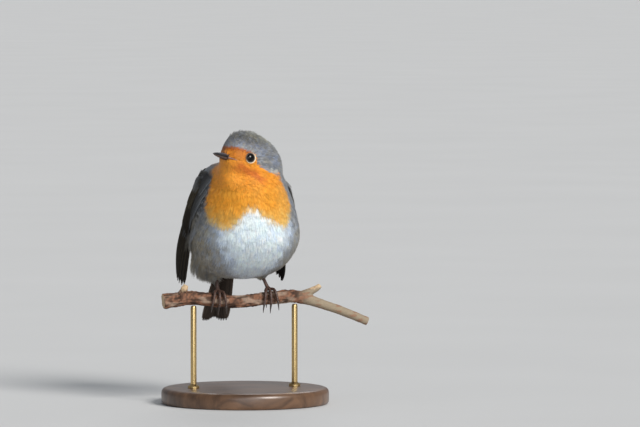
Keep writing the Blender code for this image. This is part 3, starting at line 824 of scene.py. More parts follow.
def coat_piece(name, patterns, roots, length, half_width, lift, spread=0.08, shaft=0.0, ground=form,
               depth=None, hue=None, ends=None):
    """One region's feathers as an object. Length, half width, lift, hue and dark ends are functions of
    the roots; without a depth and a hue, feathers follow the coat's depth and the markings."""
    lengths = length(roots) * chance.uniform(0.88, 1.14, len(roots))
    widths = half_width(roots) * chance.uniform(0.88, 1.12, len(roots))
    depths = coat_depth(roots) + 0.2 if depth is None else depth
    laid = lay_feathers(ground, roots, lengths, depths, lift(roots) * chance.uniform(0.3, 1.5, len(roots)))
    near_tips = laid[0][:, STEPS - 1]
    tints = feather_colours(near_tips, spread) if hue is None else hue(roots)
    dark_ends = np.zeros(len(roots)) if ends is None else ends(roots)
    arrays, faces = bend_patterns(patterns, laid, widths, tints, roots, shaft, dark_ends)
    points, colours, uvs, normals = arrays
    made = mesh_from_arrays(name, points, faces, plumage, colours, uvs, normals)
    print(name, len(roots), "feathers,", 2 * len(faces[0]) + len(faces[1]), "triangles")
    return made


# %% [markdown]
# ## Where feathers don't grow
# Nothing grows on the eye, the bill or the bare tail feathers. Under the folded wings a few short rows
# are enough, because the wing hides the rest.

# %% Bare places
bill_tree = tree_of(["bill_upper", "bill_lower"])
tail_tree = tree_of(["tail_left", "tail_right"])
wing_tree = tree_of(WINGS)


FACE_EDGE = 8.6  # the corner of the mouth, forward of the eyes
LIP_STEPS = 11


def gape_line(side):
    """The lip's path from the bill's base back over the face."""
    steps = range(LIP_STEPS)
    rough = [in_head(FACE_EDGE - 0.34 * k, side * (2.3 + 0.34 * k), -1.75 - 0.055 * k) for k in steps]
    flat, facing = form.nearest(np.array(rough))
    return flat - facing * np.linspace(0.12, 0.28, LIP_STEPS)[:, None]


gape_points = np.concatenate([gape_line(-1), gape_line(1)])
print("each lip runs", round(float(np.linalg.norm(gape_points[-1] - gape_points[LIP_STEPS])), 1), "mm back")


def bare(points):
    """True where no body feather may root."""
    apart, _ = from_eye(points)
    on_eye = (apart < 2.50) & (above_perch(points) > 60)
    on_bill = distance_to(bill_tree, points) < 0.45
    on_lip = np.linalg.norm(points[:, None] - gape_points[None], axis=2).min(1) < 0.40
    on_tail = (distance_to(tail_tree, points) < 0.6) | (rump_place(points) > 17.2)
    return on_eye | on_bill | on_tail | on_lip


def under_wing(points):
    """True where a wing lies just outside the form."""
    _, facing = form.nearest(points)
    found = []
    for p, n in zip(points, facing):
        hit = wing_tree.ray_cast(Vector(p) * MM, Vector(n), 4 * MM)
        found.append(hit[0] is not None)
    return np.array(found)


# %% [markdown]
# ## Body feathers
# The winter coat of the body is long, loose and thick. Breast and belly feathers are the fluffiest;
# back feathers are a little firmer and carry a darker shaft.


# %% Sizes of the body's feathers
def is_body(points):
    """True below the line where the head's feathers take over."""
    return above_perch(points) < 62.5 + 0.10 * points[:, 1]


def body_spacing(points):
    """Closest in front, where the coat is seen best, and over the rump."""
    rear, height = ease(0, 16, rump_place(points)), above_perch(points)
    before = ease(112, 96, np.abs(body_angle(points)))
    return 1.30 - 0.20 * rear - 0.24 * before - 0.08 * before * (ease(36, 42, height) + ease(50, 62, height))


def body_length(points):
    """Longest on the belly and flanks, shorter up the breast, on the rump and round the legs."""
    rear, height = ease(0, 16, rump_place(points)), above_perch(points)
    return 9.4 - 2.0 * rear - 2.2 * (1 - ease(10, 20, height)) - 3.2 * ease(40, 62, height)


def body_width(points):
    """Half a feather's width: the belly's are the narrowest for their length."""
    below = ease(44, 36, above_perch(points))
    return 0.42 + body_length(points) * (0.150 - 0.035 * below)


def firm_width(points):
    return 1.35 * body_width(points)


def body_lift(points):
    """Almost flat, but for long loose feathers low on the right flank, which fill in behind the wing."""
    angle, height = body_angle(points), above_perch(points)
    loose = ease(-62, -84, angle) * ease(-150, -125, angle) * ease(9, 15, height) * ease(31, 24, height)
    return 0.07 + 2.6 * loose


# %% Grow the body's coat
roots = spread_roots(form, is_body, body_spacing, 52000)
roots = roots[~bare(roots)]
roots = roots[~(under_wing(roots) & (chance.random(len(roots)) < 0.55))]
angle, height = body_angle(roots), above_perch(roots)
behind = np.abs(angle) > 100
in_breast, in_belly = ~behind & (height > 40), ~behind & (height <= 40)
back_patterns = patterns_from(20, 5, 8.0, 2.3, 19, 0.34, 0.24, 0.16, 30)
belly_patterns = patterns_from(80, 6, 9.0, 1.6, 20, 0.26, 0.17, 0.20, 17)
for name, mask, patterns, slot in (
    ("coat_breast", in_breast & (angle < 0), breast_patterns, "breast_feathers"),
    ("coat_breast_left", in_breast & (angle >= 0), breast_patterns, "breast_feathers"),
    ("coat_belly", in_belly & (angle < 0), belly_patterns, "belly_feathers"),
    ("coat_belly_left", in_belly & (angle >= 0), belly_patterns, "belly_feathers"),
):
    coat_piece(name, patterns, roots[mask], body_length, body_width, body_lift)
for name, mask in (("coat_back", behind & (height > 24)), ("coat_rump", behind & (height <= 24))):
    coat_piece(name, back_patterns, roots[mask], body_length, firm_width, body_lift,
               spread=0.06, shaft=0.25)

# %% [markdown]
# ## Head feathers
# Feathers shrink towards the bill: a few millimetres long on the nape and crown, hardly one millimetre
# between the bill and the eye. The bird has raised the front of its crown, so those tips stand off, and
# each feather there ends in a darker rim. That scalloping fades out down the grey cheek and neck.


# %% Grow the head's coat
def is_head(points):
    return above_perch(points) >= 60.5 + 0.10 * points[:, 1]


def face_share(points):
    """0 on the nape, 1 at the bill and round the eye."""
    forward, _, _ = head_measures(points)
    apart, _ = from_eye(points)
    return np.maximum(ease(-13, 6, forward), 1 - ease(3.0, 8.5, apart))


def head_spacing(points):
    return 1.02 - 0.52 * face_share(points)


def head_length(points):
    forward, _, up = head_measures(points)
    apart, _ = from_eye(points)
    length = 6.2 - 4.0 * face_share(points) + 0.5 * ease(6, 11, up)
    return length * (0.42 + 0.58 * ease(2.4, 6.0, apart)) * (0.62 + 0.38 * ease(9.5, 6.0, forward))


def head_width(points):
    return 0.18 + head_length(points) * 0.235


def head_lift(points):
    """Flat, but for the front of the crown, where some tips stand off more than others."""
    forward, _, up = head_measures(points)
    spiky = chance.choice([0.2, 0.5, 1.3], len(points), p=[0.4, 0.35, 0.25])
    return 0.03 + 0.42 * spiky * ease(6.5, 10, up) * ease(-12, -4, forward)


def scalloped(points):
    """How dark the feathers' ends are: most on the raised front of the crown."""
    forward, _, up = head_measures(points)
    dark = 0.10 + 0.55 * ease(4.5, 8, up) * ease(-9, 1, forward)
    return dark * (1 - orange_share(points))


head_patterns = patterns_from(40, 6, 4.5, 1.35, 11, 0.30, 0.19, 0.22, 30)
roots = spread_roots(form, is_head, head_spacing, 42000)
roots = roots[~bare(roots)]
_, left, up = head_measures(roots)
is_face = face_share(roots) > 0.62
for name, mask, slot, shaft in (
    ("coat_face_left", is_face & (left >= 0), "breast_feathers", 0.05),
    ("coat_face_right", is_face & (left < 0), "breast_feathers", 0.05),
    ("coat_crown", ~is_face & (up > 2), "crown_feathers", 0.30),
    ("coat_neck", ~is_face & (up <= 2), "crown_feathers", 0.08),
):
    coat_piece(name, head_patterns, roots[mask], head_length, head_width, head_lift, shaft=shaft,
               ends=scalloped)


# %% [markdown]
# ## The eye ring
# Rows of the tiniest feathers stand round the lids. They are cream behind and below the eye, where the
# ring is broadest, and fade into the orange and grey at the front and top.


# %% Grow the eye rings
def ring_roots():
    """Three rows of roots round each eye's lids."""
    found = []
    for centre, looks in EYES.values():
        side = unit(np.cross(looks, UP))
        above = np.cross(side, looks)
        for row, (radius, count) in enumerate(((2.28, 62), (2.36, 64), (2.44, 66))):
            a = 2 * math.pi * (np.arange(count) + 0.5 * (row % 2))[:, None] / count
            found.append(centre + looks * (EYE_SEAT - 0.1) + (np.cos(a) * side + np.sin(a) * above) * radius)
    return np.concatenate(found)


def ring_breadth(points):
    """1 behind and below the eye, 0 in front of it."""
    _, away = from_eye(points)
    return np.clip(0.45 + 0.5 * (away @ -FORWARD) - 0.38 * (away @ UP), 0, 1)


def ring_length(points):
    return 0.20 + 0.20 * ring_breadth(points)


def ring_hue(points):
    apart, _ = from_eye(points)
    cream = ease(0.05, 0.55, ring_breadth(points) - 0.9 * np.maximum(0, apart - 2.4))
    hue = blend(markings(points), tint("cream"), 0.15 + 0.8 * cream)
    return np.clip(hue * chance.uniform(0.9, 1.06, (len(points), 1)), 0, 0.92)


def everywhere(value):
    """The same size at every root."""
    return lambda points: np.full(len(points), float(value))


ring_patterns = patterns_from(60, 4, 0.9, 0.26, 5, 0.1, 0.09, 0.05, 26)
coat_piece("coat_eye_rings", ring_patterns, ring_roots(), ring_length, lambda p: ring_length(p) * 0.30,
           everywhere(0.05), depth=0.1, hue=ring_hue)

# %% [markdown]
# ## The folded wing as a sheet
# Flight feathers lie on each other like a hand of cards. They are laid out flat first, by their share of
# the wing's length and their offset from its axis, and a map then carries that plan on to the side of
# the bird: out to the wing's distance from the middle, and never inside the plumage.

# %% Map the wing's plan to the bird
WING_ROOT, WING_TIP = np.array([-2.0, PERCH + 63.0]), np.array([26.5, PERCH + 7.9])
WING_LENGTH = float(np.linalg.norm(WING_TIP - WING_ROOT))
WING_RUN = (WING_TIP - WING_ROOT) / WING_LENGTH
wing_table = curve_through([
    (0.00, 0.8, 4.0, 20.3), (0.03, -1.3, 7.2, 21.6), (0.08, -2.8, 10.3, 23.2), (0.20, -4.2, 14.0, 26.3),
    (0.35, -5.4, 16.5, 28.4), (0.50, -6.4, 16.8, 29.4), (0.65, -6.8, 14.0, 29.9), (0.80, -6.4, 9.2, 29.7),
    (0.92, -5.3, 4.4, 28.8), (1.00, -3.0, 1.6, 27.9),
])
SHARES, OFFSETS = np.linspace(-0.08, 1.08, 48), np.linspace(-17, 20, 56)
# The left wing is tucked in, and the right one hangs free: how far each lies inside the table's reach
# along its length, how its front edge curls in, and how its rear folds in at the tip.
TUCK = {"left": ((0, 0.76, 0.9, 1), (3.6, 3.6, 1.8, 1.5)), "right": ((0, 0.45, 0.7, 1), (0, 0, -0.9, -1.1))}
CURL = {"left": 0.0, "right": 0.18}
FOLD_IN = {"left": 0.45, "right": 0.0}


def wing_sheet(name):
    """Grids of points and facings of the wing's outer surface over its plan."""
    side = SIDES[name]
    share, offset = np.meshgrid(SHARES, OFFSETS, indexing="ij")
    y = WING_ROOT[0] + WING_RUN[0] * WING_LENGTH * share - WING_RUN[1] * offset
    z = WING_ROOT[1] + WING_RUN[1] * WING_LENGTH * share + WING_RUN[0] * offset
    turn_in = np.clip(offset / 18.8, 0, 0.985)
    reach = (wing_table(share)[..., 2] - np.interp(share, *TUCK[name])) * np.sqrt(1 - turn_in**2)
    before = np.maximum(0, -offset)
    reach -= 0.03 * before**2 + CURL[name] * before
    reach -= FOLD_IN[name] * np.maximum(0, offset + 1) * ease(0.68, 0.92, share)
    for i in range(share.shape[0]):
        for j in range(share.shape[1]):
            start = Vector((side * 60, y[i, j], z[i, j])) * MM
            hit, facing, _, _ = form.rays.ray_cast(start, Vector((-side, 0, 0)))
            if hit is not None:
                reach[i, j] = max(reach[i, j], abs(hit.x) / MM + 0.9 / max(0.45, abs(facing.x)))
    for _ in range(3):
        padded = np.pad(reach, 1, mode="edge")
        reach = (padded[:-2, 1:-1] + padded[2:, 1:-1] + padded[1:-1, :-2] + padded[1:-1, 2:] + 4 * reach) / 8
    points = np.stack([side * reach, y, z], -1)
    facing = unit(np.cross(np.gradient(points, axis=0), np.gradient(points, axis=1)))
    outward = points - np.array([0, 2, PERCH + 40])
    facing *= np.sign((facing * outward).sum(-1, keepdims=True))
    return points, facing


def on_sheet(sheet, share, offset, height):
    """Points at a height over a wing sheet, and its facing there."""
    points, facing = sheet
    i = np.clip((share - SHARES[0]) / (SHARES[1] - SHARES[0]), 0, len(SHARES) - 1.001)
    j = np.clip((offset - OFFSETS[0]) / (OFFSETS[1] - OFFSETS[0]), 0, len(OFFSETS) - 1.001)
    i0, j0 = i.astype(int), j.astype(int)
    a, b = (i - i0)[..., None], (j - j0)[..., None]

    def mix(grid):
        low = grid[i0, j0] * (1 - b) + grid[i0, j0 + 1] * b
        return low * (1 - a) + (grid[i0 + 1, j0] * (1 - b) + grid[i0 + 1, j0 + 1] * b) * a

    out = unit(mix(facing))
    return mix(points) + out * height[..., None], out


sheets = {name: wing_sheet(name) for name in SIDES}
print("wing length", round(WING_LENGTH, 1), "mm")

# %% [markdown]
# ## One flight feather
# A vane starts as a plain grid from Blender. Its corners are then shifted: the shaft runs down the
# middle or nearer the leading edge, the sides swell and close to a rounded tip, and the sheet is cambered
# so that each feather tucks under its neighbour. Fine filaments fringe the rim.

# %% The vane pattern
ACROSS, ALONG = 8, 22
vane_grid = bmesh.new()
bmesh.ops.create_grid(vane_grid, x_segments=ACROSS, y_segments=ALONG, size=1.0)
vane_grid.verts.index_update()
vane_x = np.array([v.co.x for v in vane_grid.verts])
vane_s = np.array([v.co.y for v in vane_grid.verts]) * 0.5 + 0.5
vane_quads = faces_of(vane_grid)
vane_grid.free()
RIM = 46
LEAD_SHARE = 0.62  # the leading web is this much as wide as the trailing one


def vane_outline(s, tip):
    """The share of full width at s: quick to open at the base and closing to a tip, 1 round, 3 pointed."""
    closing = (1 - np.clip(s, 0, 1) ** (9 - 2 * tip)) ** (0.5 + 0.18 * tip)
    return np.minimum(1, (s / 0.10 + 0.12)) ** 0.5 * closing


def vane_pattern(length, width, tip, lead, seed):
    """Plan points (along, across in millimetres), height, tone and faces of one vane with its rim."""
    dice = np.random.default_rng(seed)
    wide = np.where(vane_x * lead > 0, LEAD_SHARE, 1.0) * width
    notch = 1 - 0.05 * np.abs(np.sin(vane_s * (17 + seed % 5))) * (np.abs(vane_x) > 0.9)
    across = vane_x * wide * vane_outline(vane_s, tip) * notch
    along = vane_s * length
    height = -0.20 * vane_x**2 + 0.16 * vane_x * lead
    tone = 1.0 - 0.38 * np.exp(-((vane_x / 0.10) ** 2))
    s = np.repeat(np.linspace(0.12, 0.985, RIM), 2)
    side = np.tile([-1.0, 1.0], RIM)
    full = np.where(side * lead > 0, LEAD_SHARE, 1.0) * width
    reach, reach_on = full * vane_outline(s, tip), full * vane_outline(np.minimum(s + 0.02, 1), tip)
    free = dice.uniform(0.12, 0.32, len(s))
    tri = np.stack([
        np.stack([s * length, 0.93 * reach * side], 1),
        np.stack([(s + 0.016) * length, 0.93 * reach_on * side], 1),
        np.stack([(s + 0.012) * length + 1.8 * free, (reach_on + 0.8 * free) * side], 1),
    ], 1).reshape(-1, 2)
    rim_height = np.repeat(-0.20 + 0.16 * side * lead, 3) + np.tile([0, 0, 0.04], len(s))
    rim_faces = np.arange(len(tri)).reshape(-1, 3)
    rim_faces[side > 0] = rim_faces[side > 0][:, ::-1]
    return {
        "along": np.concatenate([along, tri[:, 0]]), "across": np.concatenate([across, tri[:, 1]]),
        "height": np.concatenate([height, rim_height]),
        "tone": np.concatenate([tone, np.repeat(0.97, len(tri))]),
        "x": np.concatenate([vane_x, np.repeat(side, 3)]), "s": np.concatenate([vane_s, np.repeat(s, 3)]),
        "quads": vane_quads, "triangles": rim_faces + len(vane_x),
    }


print("a vane has", 2 * len(vane_quads) + 2 * RIM, "triangles")


# %% [markdown]
# The vane finish shows what a loupe would: rows of parallel barbs that leave the shaft at a slant. The
# mesh stores, for every corner, how far it is along and across its feather, and a wave texture on those
# two numbers draws the barbs on any feather at the right scale.


# %% The vane finish
def vane_finish(name):
    """Colour from the mesh, crossed by fine barbs."""
    made, ns, links, shader = finish(name, 0.6, Specular_IOR_Level=0.1)
    colour = node(ns, "ShaderNodeAttribute", attribute_name="plumage")
    plan = node(ns, "ShaderNodeAttribute", attribute_name="vane")
    wave = node(ns, "ShaderNodeTexWave", wave_type="BANDS", bands_direction="X", Scale=1.15, Distortion=1.2,
                Detail=2.0, Detail_Scale=2.0)
    links.new(plan.outputs["Vector"], wave.inputs["Vector"])
    vary(ns, links, shader, colour.outputs["Color"], wave.outputs["Fac"], 0.80, 1.14)
    bump_from(ns, links, shader, wave.outputs["Fac"], 0.5, 0.00012)
    return made


vanes = vane_finish("flight_feathers")
VANE_THICKNESS = 0.06


def colour_vane(pattern, base, edge, tip_colour, lead):
    """Darker inner web and shaft, a paler outer edge, and a light tip where there is one."""
    x, s = pattern["x"] * lead, pattern["s"]
    colour = blend(base, edge, 0.7 * ease(0.35, 0.95, x))
    colour = blend(colour, base * 0.72, 0.8 * ease(0.1, 0.9, -x))
    if tip_colour is not None:
        colour = blend(colour, tip_colour, ease(0.90, 0.965, s) * ease(-0.5, 0.3, x))
    return colour * pattern["tone"][:, None]


def join_vanes(name, feathers, place, replaced):
    """One object from a list of feathers; place() carries plan points and heights to the bird."""
    points, colours, normals, plans, quads, triangles, total = [], [], [], [], [], [], 0
    for number, f in enumerate(feathers):
        pattern = vane_pattern(f["length"], f["width"], f["tip"], f["lead"], number)
        at, out = place(f, pattern)
        colour = colour_vane(pattern, f["base"], f["edge"], f["spot"], f["lead"])
        points.append(at)
        normals.append(out)
        colours.append(np.clip(colour * chance.uniform(0.93, 1.07), 0.002, 0.9))
        slant = pattern["along"] - np.abs(pattern["across"]) * 1.5
        plans.append(np.stack([slant, pattern["across"] * 0.2, np.full(len(slant), 3.7 * number)], 1))
        quads.append(pattern["quads"] + total)
        triangles.append(pattern["triangles"] + total)
        total += len(at)
    points, colours, normals, plans = (np.concatenate(v) for v in (points, colours, normals, plans))
    faces = [np.concatenate(quads), np.concatenate(triangles)]
    corners = points[faces[0]]
    turned = np.cross(corners[:, 1] - corners[:, 0], corners[:, 2] - corners[:, 0])
    flip = (turned * normals[faces[0][:, 0]]).sum(1).mean() < 0
    faces = [f[:, ::-1] if flip else f for f in faces]
    made = mesh_from_arrays(name, points, faces, vanes, colours)
    stored = made.data.attributes.new("vane", "FLOAT_VECTOR", "POINT")
    stored.data.foreach_set("vector", plans.astype(np.float32).ravel())
    wall = made.modifiers.new("thickness", "SOLIDIFY")
    wall.thickness, wall.offset = VANE_THICKNESS * MM, -1.0
    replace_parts(made, *replaced)
    print(name, len(feathers), "feathers")
    return made


# %% [markdown]
# ## The wing's rows
# Eight of the ten primaries show in a folded wing and make its point; six secondaries and three broad
# tertials close it over the back; above them lie greater, median and lesser coverts in shorter and
# shorter rows. Later rows overlap earlier ones, so each row is given a little more height than the last.
# The right wing hangs free of the flank, so rows of small dark coverts, bluer beside the bib, also show
# between its bend and the breast.

# %% Plan the rows
DARK, OLIVE_EDGE = np.array([0.011, 0.008, 0.006]), np.array([0.055, 0.040, 0.020])
COVERT, PALE_TIP = np.array([0.060, 0.048, 0.029]), np.array([0.28, 0.19, 0.09])
SLATE, BROWN = np.array([0.120, 0.132, 0.148]), np.array([0.060, 0.046, 0.029])


def feather(start, end, width, layer, tip, base=DARK, edge=OLIVE_EDGE, bow=0.0):
    """One wing feather from (share, offset) to (share, offset), with its layer in the stack."""
    end = (end[0] + chance.uniform(-0.004, 0.004), end[1] + chance.uniform(-0.15, 0.15))
    run = np.array([(end[0] - start[0]) * WING_LENGTH, end[1] - start[1]])
    return {"start": start, "run": run, "length": float(np.linalg.norm(run)), "width": width, "layer": layer,
            "tip": tip, "lead": -1, "base": base, "edge": edge, "spot": None, "bow": bow}


PRIMARY_TIPS = [(0.945, -4.5), (0.985, -2.9), (1.000, -1.4), (0.992, 0.0), (0.968, 1.5), (0.938, 3.0),
                (0.905, 4.6), (0.872, 6.1)]


def primaries(name):
    """The wing's long point; the free right wing shows its tips more evenly."""
    rows = []
    for k, end in enumerate(PRIMARY_TIPS):
        if name == "left":
            end = (end[0] + 0.013 * max(0, k - 3), end[1] + 0.45 * k)
        else:
            end = (end[0] + 0.010 * max(0, k - 3) + 0.014 * max(0, 2 - k), end[1] - 0.5 * max(0, 3 - k))
        rows.append(feather((0.38, -4.2 + 0.95 * k), end, 2.7, -0.55 + 0.07 * k, 0.7,
                            edge=OLIVE_EDGE * 0.8, bow=-1.9 + 0.14 * k))
    return rows


# %% Rows of like feathers
def row_of(count, start, end, width, layer, tip, **looks):
    """A row of like feathers. Start and end are share, offset and the step of each; layer has a step."""
    rows = []
    for k in range(count):
        first = (start[0] + start[2] * k, start[1] + start[3] * k)
        last = (end[0] + end[2] * k, end[1] + end[3] * k)
        rows.append(feather(first, last, width, layer[0] + layer[1] * k, tip, **looks))
    return rows


def secondaries():
    """Six secondaries, then three broad tertials over them."""
    rows = row_of(6, (0.40, 2.2, 0, 1.6), (0.850, 4.0, -0.013, 1.25), 2.7, (-0.08, 0.06), 0.8,
                  base=BROWN * 0.6, edge=OLIVE_EDGE * 1.5, bow=0.3)
    return rows + row_of(3, (0.34, 10.4, 0.01, 1.9), (0.790, 10.2, -0.060, 1.7), 3.4, (0.26, 0.08), 0.7,
                         base=BROWN, edge=OLIVE_EDGE * 1.9, bow=0.9)


# %% The coverts
# The right wing's front edge, where it meets the flank: its offset for each share of the wing's length.
shown_front = curve_through([(-0.05, 1.0), (0.0, -6.0), (0.05, -10.6), (0.11, -12.8), (0.20, -12.8),
                             (0.27, -11.8), (0.36, -9.8), (0.45, -7.9), (0.53, -6.6), (1.0, -6.6)])
COVERT_ROWS = ((0.34, 0.56), (0.23, 0.44), (0.13, 0.32), (0.04, 0.22), (-0.04, 0.12))
COVERT_STEP = 1.5


def front_coverts():
    """Small dark coverts between the wing's bend and the flank, lowest row first."""
    rows = []
    for row, (low, high) in enumerate(COVERT_ROWS):
        front = float(shown_front(np.array(low + 0.5 * (high - low))))
        shift = 1.2 + 0.4 * (row % 2)
        for k in range(max(2, int((-3.2 - front) / COVERT_STEP) + 1)):
            offset = front + shift + COVERT_STEP * k
            near_bib = math.exp(-k / 1.6) * (row > 0)
            base = DARK + SLATE * (0.22 + 0.55 * near_bib)
            edge = OLIVE_EDGE * 0.6 + SLATE * (0.30 + 1.0 * near_bib)
            rows.append(feather((low, offset), (high, offset + 0.9), 1.7, -0.25 + 0.10 * row + 0.01 * k, 0.8,
                                base=base, edge=edge))
    return rows


def coverts(name):
    """Primary, greater, median and lesser coverts; on the left the plumage hides the lesser row."""
    rows = front_coverts() if name == "right" else []
    rows += row_of(7, (0.20, -3.6, 0, 0.9), (0.53, -4.4, -0.014, 1.15), 1.8, (0, 0.03), 1.3,
                   base=DARK * 1.1, edge=OLIVE_EDGE * 0.7)
    greater = row_of(8, (0.18, 1.4, 0, 1.75), (0.480, 2.8, -0.008, 1.75), 2.4, (0.24, 0.03), 0.6,
                     base=COVERT * 0.85)
    for f in greater[:6]:
        f["spot"] = PALE_TIP
    rows += greater
    rows += row_of(8, (0.09, -3.4, 0, 2.2), (0.315, -2.8, -0.005, 2.25), 2.3, (0.38, 0.03), 0.6,
                   base=COVERT, edge=OLIVE_EDGE * 1.05)
    if name == "right":
        rows += row_of(7, (0.05, -1.4, 0, 2.1), (0.21, -1.0, 0, 2.1), 2.1, (0.48, 0.01), 0.6,
                       base=COVERT * 1.1, edge=OLIVE_EDGE * 1.1)
    return rows


# %% Lay the wings
def wing_place(sheet):
    """A function that carries a feather's plan to this wing's sheet."""

    def place(f, pattern):
        way = f["run"] / f["length"]
        s = np.clip(pattern["along"] / f["length"], 0, 1.05)
        bow = f["bow"] * np.sin(math.pi * np.clip(s, 0, 1))
        a = f["start"][0] * WING_LENGTH + way[0] * pattern["along"] - way[1] * pattern["across"]
        b = f["start"][1] + way[1] * pattern["along"] + way[0] * pattern["across"] + bow
        height = f["layer"] + pattern["height"] - 0.35 * (1 - s) - 0.18 * s**3
        return on_sheet(sheet, a / WING_LENGTH, b, height)

    return place


for name, sheet in sheets.items():
    at = wing_place(sheet)
    join_vanes(f"primaries_{name}", primaries(name), at, [f"wing_primaries_{name}"])
    join_vanes(f"secondaries_{name}", secondaries(), at, [f"wing_secondaries_{name}"])
    join_vanes(f"coverts_{name}", coverts(name), at, [f"wing_coverts_{name}"])

# %% [markdown]
# ## Shoulder and flank feathers over the wing
# A robin's wing isn't pasted on: the shoulder feathers fall over its upper edge and the flank feathers
# ride up over its front edge. They need ground that includes the wings, so the same melting is done
# again with the wings left in, and feathers are grown only along the wings' borders.

# %% Where the wings' edges lie
cloak = Ground(melted(swollen_copy(FLESH + BALLS + ENDS + WINGS, SWELL), 0.9, 12))
print("the form with wings has", len(cloak.points), "corners")


def wing_plan(points):
    """Each point's share of the wing's length and its offset from the wing's axis."""
    y, z = points[:, 1] - WING_ROOT[0], points[:, 2] - WING_ROOT[1]
    share = (y * WING_RUN[0] + z * WING_RUN[1]) / WING_LENGTH
    return share, -y * WING_RUN[1] + z * WING_RUN[0]


def front_edge(points, share):
    """The offset of each wing's front edge where the flank feathers meet it."""
    tucked = wing_table(np.clip(share, 0, 1))[:, 0] + 1.6
    return np.where(points[:, 0] > 0, tucked, shown_front(share) + 1.0)


def is_shoulder(points):
    """True along each wing's upper edge and bend, below the head's feathers."""
    share, offset = wing_plan(points)
    back = wing_table(np.clip(share, 0, 1))[:, 1]
    high = (share > -0.10) & (share < 0.42) & (offset > back - 5.0 + 7 * share) & (offset < back + 4.5)
    top = (share > -0.16) & (share < 0.06) & (offset > -6)
    left_bend = (points[:, 0] > 0) & (share > -0.16) & (share < 0.24) & (offset > -8)
    below_head = above_perch(points) < np.where(points[:, 0] < 0, 61.5, 63) + 0.8 * ruffle(points, 2.0, 9)
    return (high | top | left_bend) & (np.abs(points[:, 0]) > 5) & below_head


def is_flank_edge(points):
    """True along each wing's front edge, and round the left wing's bend."""
    share, offset = wing_plan(points)
    front, on_left = front_edge(points, share), points[:, 0] > 0
    low = np.where(on_left, 0.58, 0.50)
    high = np.where(on_left, -0.12, -0.04)
    over = np.where(on_left & (share < 0.16), 1.6, -0.8)
    return (share > high) & (share < low) & (offset < front + over) & (offset > front - 4.6)


# %% Cover the wings' edges
def shoulder_hue(points):
    """Olive, bluer in front on the left and at the top of the right shoulder; the right one darkens towards
    its front as painted shade.
    """
    on_left = points[:, 0] > 0
    blue = ease(104, 76, np.abs(body_angle(points))) * on_left
    blue = np.maximum(blue, ease(56, 61, above_perch(points)) * (points[:, 0] < 0))
    hue = blend(tint("back"), tint("blue_grey"), 0.7 * blue)
    # The right shoulder is darkened towards its front: painted shade on the wing turned from the light.
    hue = hue * np.where(points[:, 0] < 0, ease(-4, 18, points[:, 1]) * 0.62 + 0.38, 1.0)[:, None]
    return hue * chance.uniform(0.9, 1.1, (len(points), 1))


def edge_hue(points):
    """From the flank's own colour to darker feathers at the wing, painted shade where the flank meets it: a
    darker buff at the left wing, near black at the right one and darkest at its bend.
    """
    share, offset = wing_plan(points)
    on_left = points[:, 0] > 0
    inward = ease(0.8, 4.4, front_edge(points, share) - offset)
    flank = blend(tint("buff"), tint("blue_grey"), ease(30, 40, above_perch(points)))
    # Beside the wings the feathers darken, to near black on the right: painted shade between wing and flank.
    shade_near_wing = np.where(on_left[:, None], 0.75 * tint("buff"), np.array([0.050, 0.044, 0.034]))
    hue = blend(shade_near_wing, flank, inward)
    # Darker still at the right wing's bend: more painted shade.
    hue = hue * (1 - 0.62 * ease(0.22, 0.02, share) * ~on_left)[:, None]
    return hue * chance.uniform(0.72, 1.28, (len(points), 1))


def shoulder_length(points):
    """Shorter on the right, where the wing hangs free."""
    return 7.2 - 1.6 * (points[:, 0] < 0)


def flank_length(points):
    """Shorter round the wing's bend."""
    return 8.2 - 2.4 * ease(0.2, 0.0, wing_plan(points)[0])


def edge_lift(points):
    """Low flank feathers rise a little over the right wing's border; the rest lie flat."""
    return 0.12 + 0.5 * (points[:, 0] < 0) * ease(0.20, 0.35, wing_plan(points)[0])


for name, region, length, slot, shaft, hue, wide, apart in (
    ("coat_shoulders", is_shoulder, shoulder_length, "back_feathers", 0.25, shoulder_hue, 1.8, 1.30),
    ("coat_flank_edges", is_flank_edge, flank_length, "belly_feathers", 0.0, edge_hue, 1.15, 0.95),
):
    roots = spread_roots(cloak, region, everywhere(apart), 14000)
    patterns = back_patterns if shaft else belly_patterns
    coat_piece(name, patterns, roots, length, everywhere(wide), edge_lift, shaft=shaft, ground=cloak,
               depth=0.35, hue=hue)

# %% [markdown]
# ## The tail
# Twelve feathers, six a side, closed into a narrow, slightly roofed tail with a small notch. The two
# middle feathers lie on top; each next pair shows only its outer edge from below it.

# %% Lay the tail
TAIL_OUT = np.array([1.0, 0.0, 0.0])
TAIL_UP = np.cross(TAIL_OUT, TAIL_RUN)
TAIL_LENGTH = float(np.linalg.norm(TAIL_TIP - TAIL_ROOT))
TAIL_DARK, TAIL_EDGE = np.array([0.062, 0.046, 0.036]), np.array([0.135, 0.092, 0.064])
BARE_FROM = 10.0  # the tail feathers leave the rump this far from the tail's root


def tail_feathers(side):
    """Six feathers of one side, the outermost first and lowest."""
    rows = []
    for k in range(5, -1, -1):
        end = TAIL_LENGTH - 1.6 + 1.1 * math.sin(0.62 * k)
        rows.append({"length": end - BARE_FROM, "width": 2.9, "tip": 0.4, "lead": side, "base": TAIL_DARK,
                     "edge": TAIL_EDGE, "spot": None, "layer": 0.55 - 0.22 * k - 0.05 * (side > 0),
                     "from": side * (0.4 + 0.44 * k), "to": side * (0.5 + 1.13 * k)})
    return rows


def tail_place(f, pattern):
    s = pattern["along"] / f["length"]
    across = f["from"] + (f["to"] - f["from"]) * s + pattern["across"] * (0.72 + 0.28 * s)
    height = f["layer"] + pattern["height"] - 0.22 * np.abs(across) + 0.25
    at = TAIL_ROOT + TAIL_RUN * (BARE_FROM + pattern["along"])[:, None] + TAIL_OUT * across[:, None]
    return at + TAIL_UP * height[:, None], TAIL_UP + np.zeros_like(at)


